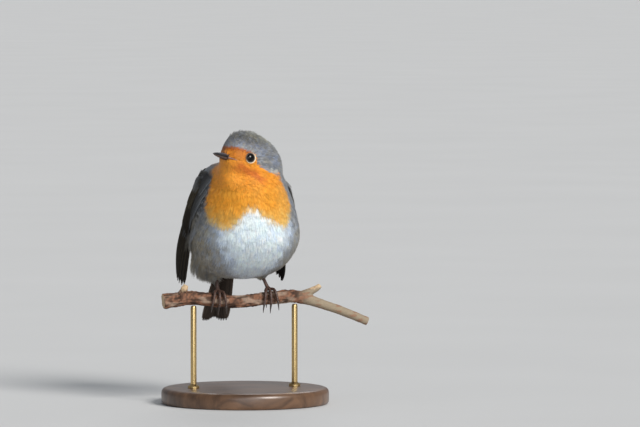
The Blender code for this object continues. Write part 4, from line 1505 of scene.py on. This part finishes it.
for name, side in SIDES.items():
    join_vanes(f"tail_feathers_{name}", tail_feathers(side), tail_place, [f"tail_{name}"])


# %% [markdown]
# ## Eyes
# A robin's eye is large, round and almost black: a deep brown iris round a black pupil under a wet, clear
# surface. The ball is a sphere whose pole points where the bird looks. Its colours are rings measured
# from that pole. A thin leathery lid, made by spinning a small circle round the line of sight, seats it.


# %% Ball and lids
def facing_matrix(centre, direction):
    """Moves a shape built round +Z to a centre in millimetres and turns its Z to a direction."""
    turned = Vector(direction).to_track_quat("Z", "Y").to_matrix().to_4x4()
    return Matrix.Translation(Vector(centre) * MM) @ turned


def object_from(name, bm, finish_of):
    """An object from a bmesh, riding on the model's one body."""
    bmesh.ops.recalc_face_normals(bm, faces=bm.faces)
    mesh = mesh_of(name, bm)
    mesh.shade_smooth()
    mesh.materials.append(finish_of)
    made = put_in_scene(name, mesh)
    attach(made, "root")
    return made


def eye_finish(name, pupil_at):
    """Rings of colour round the point where the eye looks out."""
    made, ns, links, shader = finish(name, 0.02, Specular_IOR_Level=0.24)
    apart = in_space(ns, links, "ShaderNodeVectorMath", operation="DISTANCE")
    apart.inputs[1].default_value = Vector(pupil_at) * MM
    share = spread_over(ns, links, apart.outputs["Value"], From_Max=3.0 * MM)
    rings = ((0.38, (0.002, 0.002, 0.002)), (0.44, (0.006, 0.003, 0.002)), (0.62, (0.004, 0.002, 0.0015)),
             (0.72, (0.002, 0.0015, 0.0015)))
    links.new(ramp(ns, links, share, rings), shader.inputs["Base Color"])
    return made


def fine_grained(name, rough, colour, grain, strength):
    """A small part's finish: one colour, broken by a fine grain in its surface."""
    made, ns, links, shader = finish(name, rough, colour)
    pores = in_space(ns, links, "ShaderNodeTexNoise", Scale=grain, Detail=2.0)
    bump_from(ns, links, shader, pores.outputs["Fac"], strength, 0.0001)
    return made


lid_skin = fine_grained("lid_skin", 0.6, (0.022, 0.017, 0.015), 4000.0, 0.5)
for name, (centre, looks) in EYES.items():
    ball = bmesh.new()
    bmesh.ops.create_uvsphere(ball, u_segments=48, v_segments=32, radius=EYE_RADIUS * MM,
                              matrix=facing_matrix(centre, looks))
    eyeball = object_from(f"eyeball_{name}", ball, eye_finish(f"iris_{name}", centre + looks * EYE_RADIUS))
    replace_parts(eyeball, f"eye_{name}")
    lids = bmesh.new()
    section = bmesh.ops.create_circle(lids, segments=10, radius=0.24 * MM)["verts"]
    bmesh.ops.scale(lids, vec=(1.25, 0.8, 1), verts=section)
    bmesh.ops.rotate(lids, matrix=Matrix.Rotation(math.pi / 2, 3, "X"), verts=section)
    bmesh.ops.translate(lids, vec=((EYE_OPENING + 0.06) * MM, 0, (EYE_SEAT + 0.03) * MM), verts=section)
    bmesh.ops.spin(lids, geom=lids.edges[:], axis=(0, 0, 1), cent=(0, 0, 0), angle=2 * math.pi, steps=48,
                   use_merge=True)
    bmesh.ops.transform(lids, matrix=facing_matrix(centre, looks), verts=lids.verts)
    object_from(f"eyelids_{name}", lids, lid_skin)
print("eyes and lids made")

# %% [markdown]
# ## The bill
# Two slim halves of dark horn meet in a straight, faintly drooping line. Each starts as a ring of points
# at the face and is extruded from station to station towards the tip. The upper half has a soft ridge
# along its top and overhangs the lower by a hair. Horn is warmer below. Painted on it are a highlight along
# the lower half's edge and on the paler, bluish ridge, and shade in the dark closing line.

# %% Extrude the bill
# Half width and height of each half, for each place forward of the eyes.
BILL_BASE, UPPER_TIP, LOWER_TIP = 5.2, 17.45, 16.75
upper_table = curve_through([(BILL_BASE, 2.6, 1.3), (8.0, 2.2, 1.65), (10.4, 1.75, 1.60), (13.0, 1.25, 1.35),
                             (15.4, 0.76, 0.95), (16.9, 0.36, 0.50), (UPPER_TIP, 0.12, 0.16)])
lower_table = curve_through([(BILL_BASE, 2.5, 1.0), (8.0, 2.05, 1.30), (10.4, 1.60, 1.15), (13.0, 1.05, 0.85),
                             (15.2, 0.58, 0.55), (LOWER_TIP, 0.14, 0.18)])


def closing_line(forward):
    """The height at which the two halves meet."""
    return -1.85 + 0.015 * (17.4 - forward)


def bill_ring(table, forward, sign, count):
    """A ring of points: arched away from the closing line, and almost flat along it."""
    half, high = table(forward)
    ring = []
    for k in range(count):
        a = 2 * math.pi * k / count
        arch = math.sin(a)
        ridge = 1 + 0.10 * math.exp(-((math.cos(a) / 0.25) ** 2)) * (sign > 0)
        rise = high * ridge * arch if arch > 0 else 0.06 * arch
        wide = half * math.cos(a) * (1 - 0.10 * max(0.0, arch))
        ring.append(Vector(in_head(forward, wide, closing_line(forward) + sign * (0.10 + rise))) * MM)
    return ring


def extruded(rings):
    """A closed bmesh that starts as a ring and is extruded from one ring of points to the next."""
    bm = bmesh.new()
    verts = [bm.verts.new(p) for p in rings[0]]
    edges = [bm.edges.new((v, verts[i - 1])) for i, v in enumerate(verts)]
    first = edges
    for ring in rings[1:]:
        grown = set(bmesh.ops.extrude_edge_only(bm, edges=edges)["geom"])
        verts = [next(e.other_vert(v) for e in v.link_edges if e.other_vert(v) in grown) for v in verts]
        for v, p in zip(verts, ring):
            v.co = p
        edges = [bm.edges.get((v, verts[i - 1])) for i, v in enumerate(verts)]
    for rim in (first, edges):
        bmesh.ops.edgeloop_fill(bm, edges=rim)
    return bm


# %% Horn, and the two halves
def horn_finish():
    """Streaked horn: warm below with a painted highlight along the lower edge, painted shade in the dark
    closing line, and a painted highlight on the bluish ridge on top.
    """
    made, ns, links, shader = finish("bill_horn", 0.34, Specular_IOR_Level=0.5)
    streaks = in_space(ns, links, "ShaderNodeTexNoise", Scale=700.0, Detail=4.0)
    rise = in_space(ns, links, "ShaderNodeVectorMath", operation="DOT_PRODUCT")
    rise.inputs[1].default_value = UP
    meeting = float((in_head(12, 0, closing_line(12)) * MM) @ UP)
    rank = spread_over(ns, links, rise.outputs["Value"], From_Min=meeting - 1.2 * MM,
                       From_Max=meeting + 1.8 * MM)
    # Painted light in the tones: a highlight just under the closing line, shade in the line itself and a
    # bluish highlight on the ridge.
    tones = ramp(ns, links, rank, (
        (0.0, (0.040, 0.028, 0.026)), (0.33, (0.085, 0.055, 0.046)), (0.39, (0.003, 0.003, 0.003)),
        (0.46, (0.008, 0.007, 0.008)), (0.72, (0.026, 0.026, 0.031)), (1.0, (0.085, 0.092, 0.110)),
    ))
    vary(ns, links, shader, tones, streaks.outputs["Fac"], 0.55, 1.45)
    bump_from(ns, links, shader, streaks.outputs["Fac"], 0.25, 0.0002)
    return made


horn = horn_finish()
for name, table, sign, last in (("upper", upper_table, 1, UPPER_TIP), ("lower", lower_table, -1, LOWER_TIP)):
    rings = [bill_ring(table, f, sign, 24) for f in np.linspace(BILL_BASE, last, 26)]
    half = object_from(f"bill_{name}_horn", extruded(rings), horn)
    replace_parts(half, f"bill_{name}")
print("bill length in front of the face", round(UPPER_TIP - FACE_EDGE, 1), "mm")


# %% [markdown]
# ## Nostrils, gape and bristles
# A long slit of a nostril opens on each side of the bill's base; it is a near-black solid, painted shade in
# the opening. From the corner of the mouth a thin flesh-coloured lip runs back over the face, and a few stiff
# bristles spring from above it.


# %% Small parts of the face
def rod_along(path, radii, sides):
    """A closed round rod through points in millimetres."""
    rings = []
    for i, p in enumerate(path):
        run = unit(path[min(i + 1, len(path) - 1)] - path[max(i - 1, 0)])
        side = unit(np.cross(run, (0.31, 0.17, 0.93)))
        up = np.cross(run, side)
        turns = [2 * math.pi * k / sides for k in range(sides)]
        rings.append([Vector(p + radii[i] * (math.cos(a) * side + math.sin(a) * up)) * MM for a in turns])
    return extruded(rings)


def joined(name, parts, finish_of, slot):
    """Several closed bmeshes as one object."""
    whole = bmesh.new()
    for part in parts:
        bmesh.ops.recalc_face_normals(part, faces=part.faces)
        pour(part, whole)
    made = object_from(name, whole, finish_of)
    return made


# Near black: painted shade inside the nostril slits, and the bristles' own dark colour.
slit_shade_and_bristle_dark = fine_grained("nostril_shade_bristle_dark", 0.8, (0.006, 0.005, 0.005), 3000.0, 0.4)
lip_skin = fine_grained("lip_skin", 0.5, (0.30, 0.165, 0.125), 3000.0, 0.4)
slits, lips, bristles = [], [], []
for side in (-1, 1):
    hole = bmesh.new()
    bmesh.ops.create_uvsphere(hole, u_segments=16, v_segments=10, radius=0.30 * MM)
    bmesh.ops.scale(hole, vec=(2.6, 0.5, 0.7), verts=hole.verts)
    turned = Matrix([FORWARD, LEFT, UP]).transposed().to_4x4()
    spot = Matrix.Translation(Vector(in_head(9.9, side * 1.86, -1.15)) * MM)
    bmesh.ops.transform(hole, matrix=spot @ turned, verts=hole.verts)
    slits.append(hole)
    lip_radii = np.interp(np.arange(LIP_STEPS), [0, 4, 10], [0.46, 0.34, 0.06])
    lips.append(rod_along(gape_line(side), lip_radii, 8))
    for k in range(6):
        base = in_head(8.2 - 0.55 * k, side * (2.5 + 0.35 * k), -1.3 + 0.15 * k)
        way = unit(FORWARD * 0.75 + LEFT * side * (0.45 + 0.06 * k) - UP * 0.25)
        hair = np.array([base + way * t * 2.9 - UP * 0.5 * t * t for t in (0, 0.35, 0.7, 1.0)])
        bristles.append(rod_along(hair, [0.045, 0.04, 0.03, 0.012], 5))
joined("nostrils", slits, slit_shade_and_bristle_dark, "bill_horn")
joined("mouth_corners", lips, lip_skin, "bill_horn")
joined("bristles", bristles, slit_shade_and_bristle_dark, "bill_horn")
print("face parts:", len(slits) + len(lips) + len(bristles))

# %% [markdown]
# ## The branch's own bends
# The perch is a short length of a real branch: bark on the thick part, a thinner bare twig that runs on
# downhill, a snapped side stump and the knot of a dead shoot. The same few bends place the feet.

# %% Paths of the branch
# Each bend is (x, y, height above the perch's own level, radius) in millimetres.
LIMB = [(-42, 1.2, -0.4, 3.9), (-34, 0.8, 0.7, 3.6), (-27, 0.3, 1.2, 3.4), (-14, 0.0, -0.2, 3.3),
        (-2, 0.0, -0.9, 3.15), (13, 0.0, 0.6, 3.25), (23, -0.3, 1.3, 3.3), (29, -0.6, 0.6, 3.1)]
TWIG = [(38, -1.2, -2.4, 2.5), (50, -1.8, -6.6, 2.3), (63, -2.2, -12.0, 2.2)]
STUMP = [(24, -0.4, 0.9, 2.2), (31, -0.9, 2.6, 2.0), (36.5, -1.3, 5.0, 1.7), (38.6, -1.5, 6.6, 1.2)]
KNOT = [(-33, -0.6, 1.2, 2.6), (-32.4, -1.9, 4.6, 2.0), (-30.9, -2.6, 7.9, 1.4)]
limb_at = curve_through(LIMB)


def bent_rod(bends, steps, sides):
    """A closed rod through the bends of one shoot."""
    smooth = curve_through([(number, *bend) for number, bend in enumerate(bends)])
    rows = smooth(np.linspace(0, len(bends) - 1, steps))
    return rod_along(rows[:, :3] + np.array([0, 0, PERCH]), rows[:, 3], sides)


def grip_at(x):
    """The limb's own y, height and radius at a place along it."""
    return tuple(float(value) for value in limb_at(np.array(x, float)))


print("limb under the left foot is", round(2 * grip_at(12.0)[2], 1), "mm thick")


# %% [markdown]
# ## Bark
# The three rods melt into one piece of wood, so the side shoots grow out of the limb with a soft collar.
# Every corner is then pushed in or out by long cracks and small warts, which also choose the colour: the
# cracks get darker bark, partly its own colour and partly painted shade in the grooves. Broader patches, grey
# where bark has weathered and near black where it is damp, and pale wood at the cuts come on top.


# %% Carve the branch
BARK = {name: np.array(colour) for name, colour in (
    ("red", (0.215, 0.102, 0.060)), ("brown", (0.105, 0.056, 0.037)), ("grey", (0.33, 0.25, 0.19)),
    # The crack colour is darker bark deepened as painted shade in the fissures.
    ("crack_dark_and_shade", (0.045, 0.025, 0.017)), ("damp", (0.040, 0.024, 0.018)), ("cream", (0.27, 0.215, 0.15)),
    ("tan", (0.24, 0.13, 0.08)), ("sawn", (0.56, 0.42, 0.27)), ("snapped", (0.60, 0.44, 0.27)),
)}


def wood_of(points, facing):
    """Push in millimetres and colour at each point of the branch."""
    x = points[:, 0]
    bare_twig = ease(26, 33, x + 1.2 * ruffle(points, 4.0, 3))
    stretched = points * np.array([0.32, 1, 1])
    cracks = ruffle(stretched, 1.25, 4)
    warts = ruffle(points, 1.1, 5)
    patches = ruffle(points * np.array([0.5, 1, 1]), 3.6, 6)
    push = (0.26 * np.abs(cracks) ** 0.7 * np.sign(cracks) + 0.16 * warts) * (1 - 0.82 * bare_twig)
    colour = blend(BARK["red"], BARK["brown"], ease(-0.3, 0.5, warts))
    colour = blend(colour, BARK["grey"], 0.6 * ease(0.15, 0.6, patches))
    # Darker in the cracks: partly darker inner bark, partly painted shade in the grooves.
    colour = blend(colour, BARK["crack_dark_and_shade"], 0.85 * ease(0.15, 0.7, -cracks))
    colour = blend(colour, BARK["damp"], 0.75 * ease(0.25, 0.65, -patches))
    twig = blend(BARK["cream"], BARK["tan"], 0.8 * ease(0.1, 0.6, cracks + 0.4 * patches))
    colour = blend(colour, twig, bare_twig)
    cut = (np.abs(facing[:, 0]) > 0.86) & ((x < -41.3) | (x > 62.0))
    rings = np.sin(np.linalg.norm(points[:, 1:] - np.array([1.2, PERCH - 0.4]), axis=1) * 9)
    sawn = BARK["sawn"] * (1 + 0.14 * rings[:, None])
    colour = np.where(cut[:, None], sawn, colour)
    snapped = ease(4.4, 6.4, above_perch(points) + 0.8 * warts) * ((x > 30) | (x < -28))
    return np.where(cut, 0, push), blend(colour, BARK["snapped"], 0.85 * snapped)


def make_branch():
    """The limb with its twig, stump and knot as one carved and coloured mesh."""
    whole = bmesh.new()
    for rod in (bent_rod(LIMB + TWIG, 60, 20), bent_rod(STUMP, 12, 14), bent_rod(KNOT, 11, 14)):
        bmesh.ops.recalc_face_normals(rod, faces=rod.faces)
        pour(rod, whole)
    wood = melted(whole, 0.42, 3)
    points, facing = corners_of(wood)
    push, colour = wood_of(points, facing)
    for v, p, n, d in zip(wood.verts, points, facing, push):
        v.co = Vector(p + n * (d - 0.05)) * MM
    made = object_from("branch", wood, bark_finish())
    store_colours(made.data, np.clip(colour, 0, 0.9))
    return made


def bark_finish():
    """The carved colours under a layer of fine flakes."""
    made = stored_colour("bark", 0.85, 1300.0, Specular_IOR_Level=0.2)
    ns, links = made.node_tree.nodes, made.node_tree.links
    flakes = in_space(ns, links, "ShaderNodeTexNoise", Scale=2600.0, Detail=6.0, Roughness=0.65)
    bump_from(ns, links, ns["Principled BSDF"], flakes.outputs["Fac"], 0.6, 0.0003)
    return made


branch = make_branch()
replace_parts(branch, "perch_branch")
print("branch corners:", len(branch.data.vertices))

# %% [markdown]
# ## Feet
# Three toes point forward and one back, each a chain of small overlapping scales with soft pads below,
# ending in a hooked claw. A limb here is a rod whose radius steps up at the start of each scale and
# eases down along it, so the scutes are in the mesh itself. Shank and toes meet in a low, flattened ball.


# %% Scaled limbs
def scaled_rod(path, radii, scale_length, sides=14, flat=1.0, pads=0.0):
    """A rod with overlapping scales; flat squashes it and pads swells its underside at the joints."""
    lengths = np.concatenate([[0], np.cumsum(np.linalg.norm(np.diff(path, axis=0), axis=1))])
    count = max(3, int(round(lengths[-1] / scale_length)))
    one_scale = ((0.0, 1.08), (0.18, 1.10), (0.75, 1.00), (0.97, 0.95))
    rings = []
    for k, share, step in [(k, *row) for k in range(count) for row in one_scale]:
        at = (k + share) / count * lengths[-1]
        before, p, after = (
            np.array([np.interp(at + step_on, lengths, path[:, c]) for c in range(3)])
            for step_on in (-0.05, 0, 0.05)
        )
        run = unit(after - before)
        side = unit(np.array([1.0, 0, 0]) - run * run[0])
        out = np.cross(run, side)
        radius = np.interp(at, lengths, radii)
        ring = []
        for j in range(sides):
            a = 2 * math.pi * j / sides
            upper = max(0.0, math.cos(a))
            scale = 1 + (step - 1) * upper
            pad = 1 + pads * max(0.0, -math.cos(a)) * (0.5 + 0.5 * math.cos(2 * math.pi * at / 2.6))
            r = radius * scale * pad
            ring.append(Vector(p + r * (math.sin(a) * side + math.cos(a) * out * flat)) * MM)
        rings.append(ring)
    return extruded(rings)


# A toe's middle line runs this far off the bark: the gap, the toe's own radius and its pad.
TOE_SEAT = 0.3 + 0.72 + 0.25


def toe_path(x, splay, wrap, forward, count):
    """Points round the branch from its top, in the way the solids' toes run."""
    reach = grip_at(x)[2] + TOE_SEAT
    points = []
    for a in np.linspace(14.0, wrap, count):
        bend = math.radians(a)
        drift = math.tan(math.radians(splay)) * reach * bend
        y, z, _ = grip_at(x + drift)
        flare = 0.9 * max(0.0, (a - 95) / 40)
        points.append((x + drift, y - forward * (reach + flare) * math.sin(bend),
                       PERCH + z + reach * math.cos(bend)))
    return np.array(points)


def claw_path(curl):
    """Points of the claw that goes on past a toe, bending downwards."""
    run = unit(curl[-1] - curl[-2])
    drop = np.array([0, 0, -1.0]) - run * -run[2]
    t = np.linspace(0, 1, 9)[:, None]
    return curl[-1] + run * (0.05 + 4.8 * t) + drop * 1.75 * t * t


# %% [markdown]
# Scaly skin is dark brown with paler rims to the scutes; claws are darker, smooth horn. Both get a fine
# noise so that no surface is one flat colour.


# %% Finishes of the legs, and both feet
def dappled(name, dark, light, rough, grain, bump):
    """A finish that wanders between two colours, with a matching fine bump."""
    made, ns, links, shader = finish(name, rough, dark)
    cells = in_space(ns, links, "ShaderNodeTexNoise", Scale=grain, Detail=4.0)
    tones = ramp(ns, links, cells.outputs["Fac"], ((0.3, dark), (0.75, light)))
    links.new(tones, shader.inputs["Base Color"])
    bump_from(ns, links, shader, cells.outputs["Fac"], 0.4, bump)
    return made


leg_skin = dappled("leg_skin", (0.032, 0.017, 0.013), (0.105, 0.055, 0.040), 0.42, 1500.0, 0.0002)
claw_horn = dappled("claw_horn", (0.018, 0.013, 0.012), (0.060, 0.042, 0.035), 0.35, 900.0, 0.0001)
# Forward toes: place beside the middle one, splay and wrap round the branch in degrees.
FORWARD_TOES = (("inner", -1, -8.0, 116.0), ("middle", 0, 2.0, 132.0), ("outer", 1, 12.0, 110.0))
CLAW_RADII = np.linspace(1, 0.12, 9) ** 0.8 * 0.56


def toe_and_claw(toe, name, sole, x, splay, wrap, ahead):
    """One scaled toe from the ball of the foot round the branch, and its claw."""
    count, set_off = (9, -1.1) if ahead > 0 else (7, 1.6)
    curl = toe_path(x, splay, wrap, ahead, count)
    curl[:, 1] += np.linspace(set_off, 0, count)
    curl = np.vstack([sole + (curl[0] - sole) * 0.25 + [0, 0, 0.1], curl])
    scaled = scaled_rod(curl, np.linspace(0.74, 0.60, len(curl)), 0.85, pads=0.16)
    for piece, stem, finish_of, replaced, slot in (
        ("scaled", scaled, leg_skin, "toe", "leg_skin"),
        ("hook", rod_along(claw_path(curl), CLAW_RADII, 12), claw_horn, "claw", "claw_horn"),
    ):
        made = object_from(f"{piece}_{toe}_{name}", stem, finish_of)
        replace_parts(made, f"{replaced}_{toe}_{name}")


for name, x, slant, inward in (("left", 12.0, -0.34, -1), ("right", -14.0, 0.0, 1)):
    y, z, radius = grip_at(x)
    sole = np.array([x, y + 0.4, PERCH + z + radius + TOE_SEAT + 0.1])
    hip = np.array([x + slant * 6.1, 3.5, PERCH + 11.0])
    shank = np.array([hip + (sole - hip) * t for t in (0.0, 0.3, 0.55, 0.8, 0.93, 1.0)])
    seat = Matrix.Translation(Vector(sole) * MM) @ Matrix.Diagonal((1.75, 1.85, 0.95, 1))
    ball = bmesh.new()
    bmesh.ops.create_icosphere(ball, subdivisions=3, radius=MM, matrix=seat)
    limb = scaled_rod(shank, [0.95, 0.85, 0.86, 0.95, 1.25, 1.3], 0.95, 16, 0.80)
    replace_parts(joined(f"shank_{name}", [limb, ball], leg_skin, "leg_skin"), f"tarsus_{name}")
    for toe, k, splay, wrap in FORWARD_TOES:
        toe_and_claw(toe, name, sole, x - inward * k * 1.85, -inward * splay, wrap, 1)
    toe_and_claw("hind", name, sole, x, 0.0, 96.0, -1)
print("feet made, with soles", round(float(sole[2]), 1), "mm above the table")

# %% [markdown]
# ## The stand
# The stand is a plain turned disc of dark wood with two brass rods. The disc's edge profile is drawn as a
# few points and spun round the middle. Brass ferrules dress the rods where they enter the wood.


# %% Turn the disc and the rods
def spun(profile, steps):
    """A closed turned shape from (radius, height) points in millimetres, the first and last on the axis."""
    bm = bmesh.new()
    verts = [bm.verts.new((r * MM, 0, z * MM)) for r, z in profile]
    edges = [bm.edges.new(pair) for pair in zip(verts, verts[1:])]
    bmesh.ops.spin(bm, geom=edges, axis=(0, 0, 1), cent=(0, 0, 0), angle=2 * math.pi, steps=steps,
                   use_merge=True)
    bmesh.ops.remove_doubles(bm, verts=bm.verts, dist=1e-7)
    return bm


def wood_finish():
    """Walnut under a thin coat of wax, its grain stretched along one way of the board."""
    made, ns, links, shader = finish("stand_walnut", 0.38, Coat_Weight=0.25, Coat_Roughness=0.2)
    stretch = in_space(ns, links, "ShaderNodeMapping")
    stretch.inputs["Scale"].default_value = (18, 150, 60)
    grain = node(ns, "ShaderNodeTexNoise", Scale=1.0, Detail=8.0, Roughness=0.6, Distortion=1.2)
    links.new(stretch.outputs["Vector"], grain.inputs["Vector"])
    stops = ((0.30, (0.045, 0.022, 0.011)), (0.72, (0.170, 0.088, 0.045)))
    links.new(ramp(ns, links, grain.outputs["Fac"], stops), shader.inputs["Base Color"])
    bump_from(ns, links, shader, grain.outputs["Fac"], 0.12, 0.0003)
    return made


def brass_finish():
    """Brass rubbed by a cloth: its gloss wanders a little."""
    made, ns, links, shader = finish("brushed_brass", 0.28, (0.62, 0.44, 0.20), Metallic=1.0)
    rubbed = in_space(ns, links, "ShaderNodeTexNoise", Scale=900.0, Detail=3.0)
    gloss = spread_over(ns, links, rubbed.outputs["Fac"], To_Min=0.20, To_Max=0.38)
    links.new(gloss, shader.inputs["Roughness"])
    return made


EDGE = [(0, 0), (40.6, 0), (41.5, 0.25), (41.9, 1.0), (42.0, 2.0), (42.0, 5.4), (41.8, 6.5), (41.1, 7.4),
        (40.0, 7.85), (38.6, 8.0), (0, 8.0)]
SHARP = math.radians(35)
disc = object_from("turned_disc", spun(EDGE, 96), wood_finish())
disc.data.set_sharp_from_angle(angle=SHARP)
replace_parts(disc, "stand_base")
brass = brass_finish()
for name, x in (("left", 25.5), ("right", -26.5)):
    y, z, radius = grip_at(x)
    top = PERCH + z - radius - 0.45
    rod = spun([(0, 8.1), (2.9, 8.1), (2.9, 9.0), (2.6, 9.4), (1.9, 9.7), (1.5, 10.2), (1.5, top - 1.2),
                (1.3, top - 0.3), (0.9, top), (0, top)], 40)
    bmesh.ops.translate(rod, vec=(x * MM, y * MM, 0), verts=rod.verts)
    post = object_from(f"brass_post_{name}", rod, brass)
    post.data.set_sharp_from_angle(angle=SHARP)
    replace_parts(post, f"stand_rod_{name}")
    print(name, "rod reaches", round(top, 1), "mm")


# %% [markdown]
# ## Studio
# The floor is one wide pale disc, so large that the camera never sees its rim. A broad light from high on
# the right models the round body; a weak, cool one from low in front opens the shade under the bill and
# belly, a third rims the back, and the world fills what is left. Every light stands above the floor,
# which would block it otherwise. The camera stands well back with a long lens, so nothing is distorted.


# %% Floor, lights and camera
def make_floor():
    """A wide floor just under the stand; it is stage, not model."""
    bm = bmesh.new()
    bmesh.ops.create_circle(bm, cap_ends=True, segments=96, radius=30.0)
    bmesh.ops.translate(bm, vec=(0, 0, -0.1 * MM), verts=bm.verts)
    mesh = mesh_of("floor", bm)
    made, ns, links, shader = finish("pale_floor", 0.95, (0.72, 0.72, 0.70), Specular_IOR_Level=0.1)
    cloud = in_space(ns, links, "ShaderNodeTexNoise", Scale=6.0, Detail=2.0)
    grey = spread_over(ns, links, cloud.outputs["Fac"], To_Min=0.57, To_Max=0.61)
    links.new(grey, shader.inputs["Base Color"])
    mesh.materials.append(made)
    put_in_scene("floor", mesh)


def sun(name, from_way, strength, spread, colour):
    """A far light that shines from a direction, its size given as an angle in degrees."""
    data = bpy.data.lights.new(name, "SUN")
    data.energy, data.color, data.angle = strength, colour, math.radians(spread)
    put_in_scene(name, data).rotation_euler = Vector(from_way).to_track_quat("Z", "Y").to_euler()


make_floor()
sun("high_right", (0.34, -0.78, 0.52), 3.6, 24, (1.0, 0.98, 0.95))
sun("front_fill", (-0.16, -0.96, 0.18), 0.80, 36, (0.86, 0.93, 1.0))
sun("behind", (0.25, 0.70, 0.67), 0.6, 30, (0.97, 0.98, 1.0))
world = bpy.data.worlds.new("studio")
world.use_nodes = True
world.node_tree.nodes["Background"].inputs["Color"].default_value = (0.86, 0.93, 1.0, 1)
world.node_tree.nodes["Background"].inputs["Strength"].default_value = 0.25
bpy.context.scene.world = world

LOOK_AT, DISTANCE = Vector((0.0362, -0.0097, 0.0951)), 2.667
around, above = math.radians(-15), math.radians(3)
lens = bpy.data.cameras.new("camera")
lens.lens, lens.sensor_width, lens.clip_end = 300.0, 36.0, 20.0
camera = put_in_scene("camera", lens)
back = Vector((math.sin(around) * math.cos(above), -math.cos(around) * math.cos(above), math.sin(above)))
camera.location = LOOK_AT + back * DISTANCE
camera.rotation_euler = (-back).to_track_quat("-Z", "Y").to_euler()
bpy.context.scene.camera = camera
bpy.context.scene.view_settings.view_transform = "Standard"
print("camera", round(camera.location.z, 3), "m above the floor")
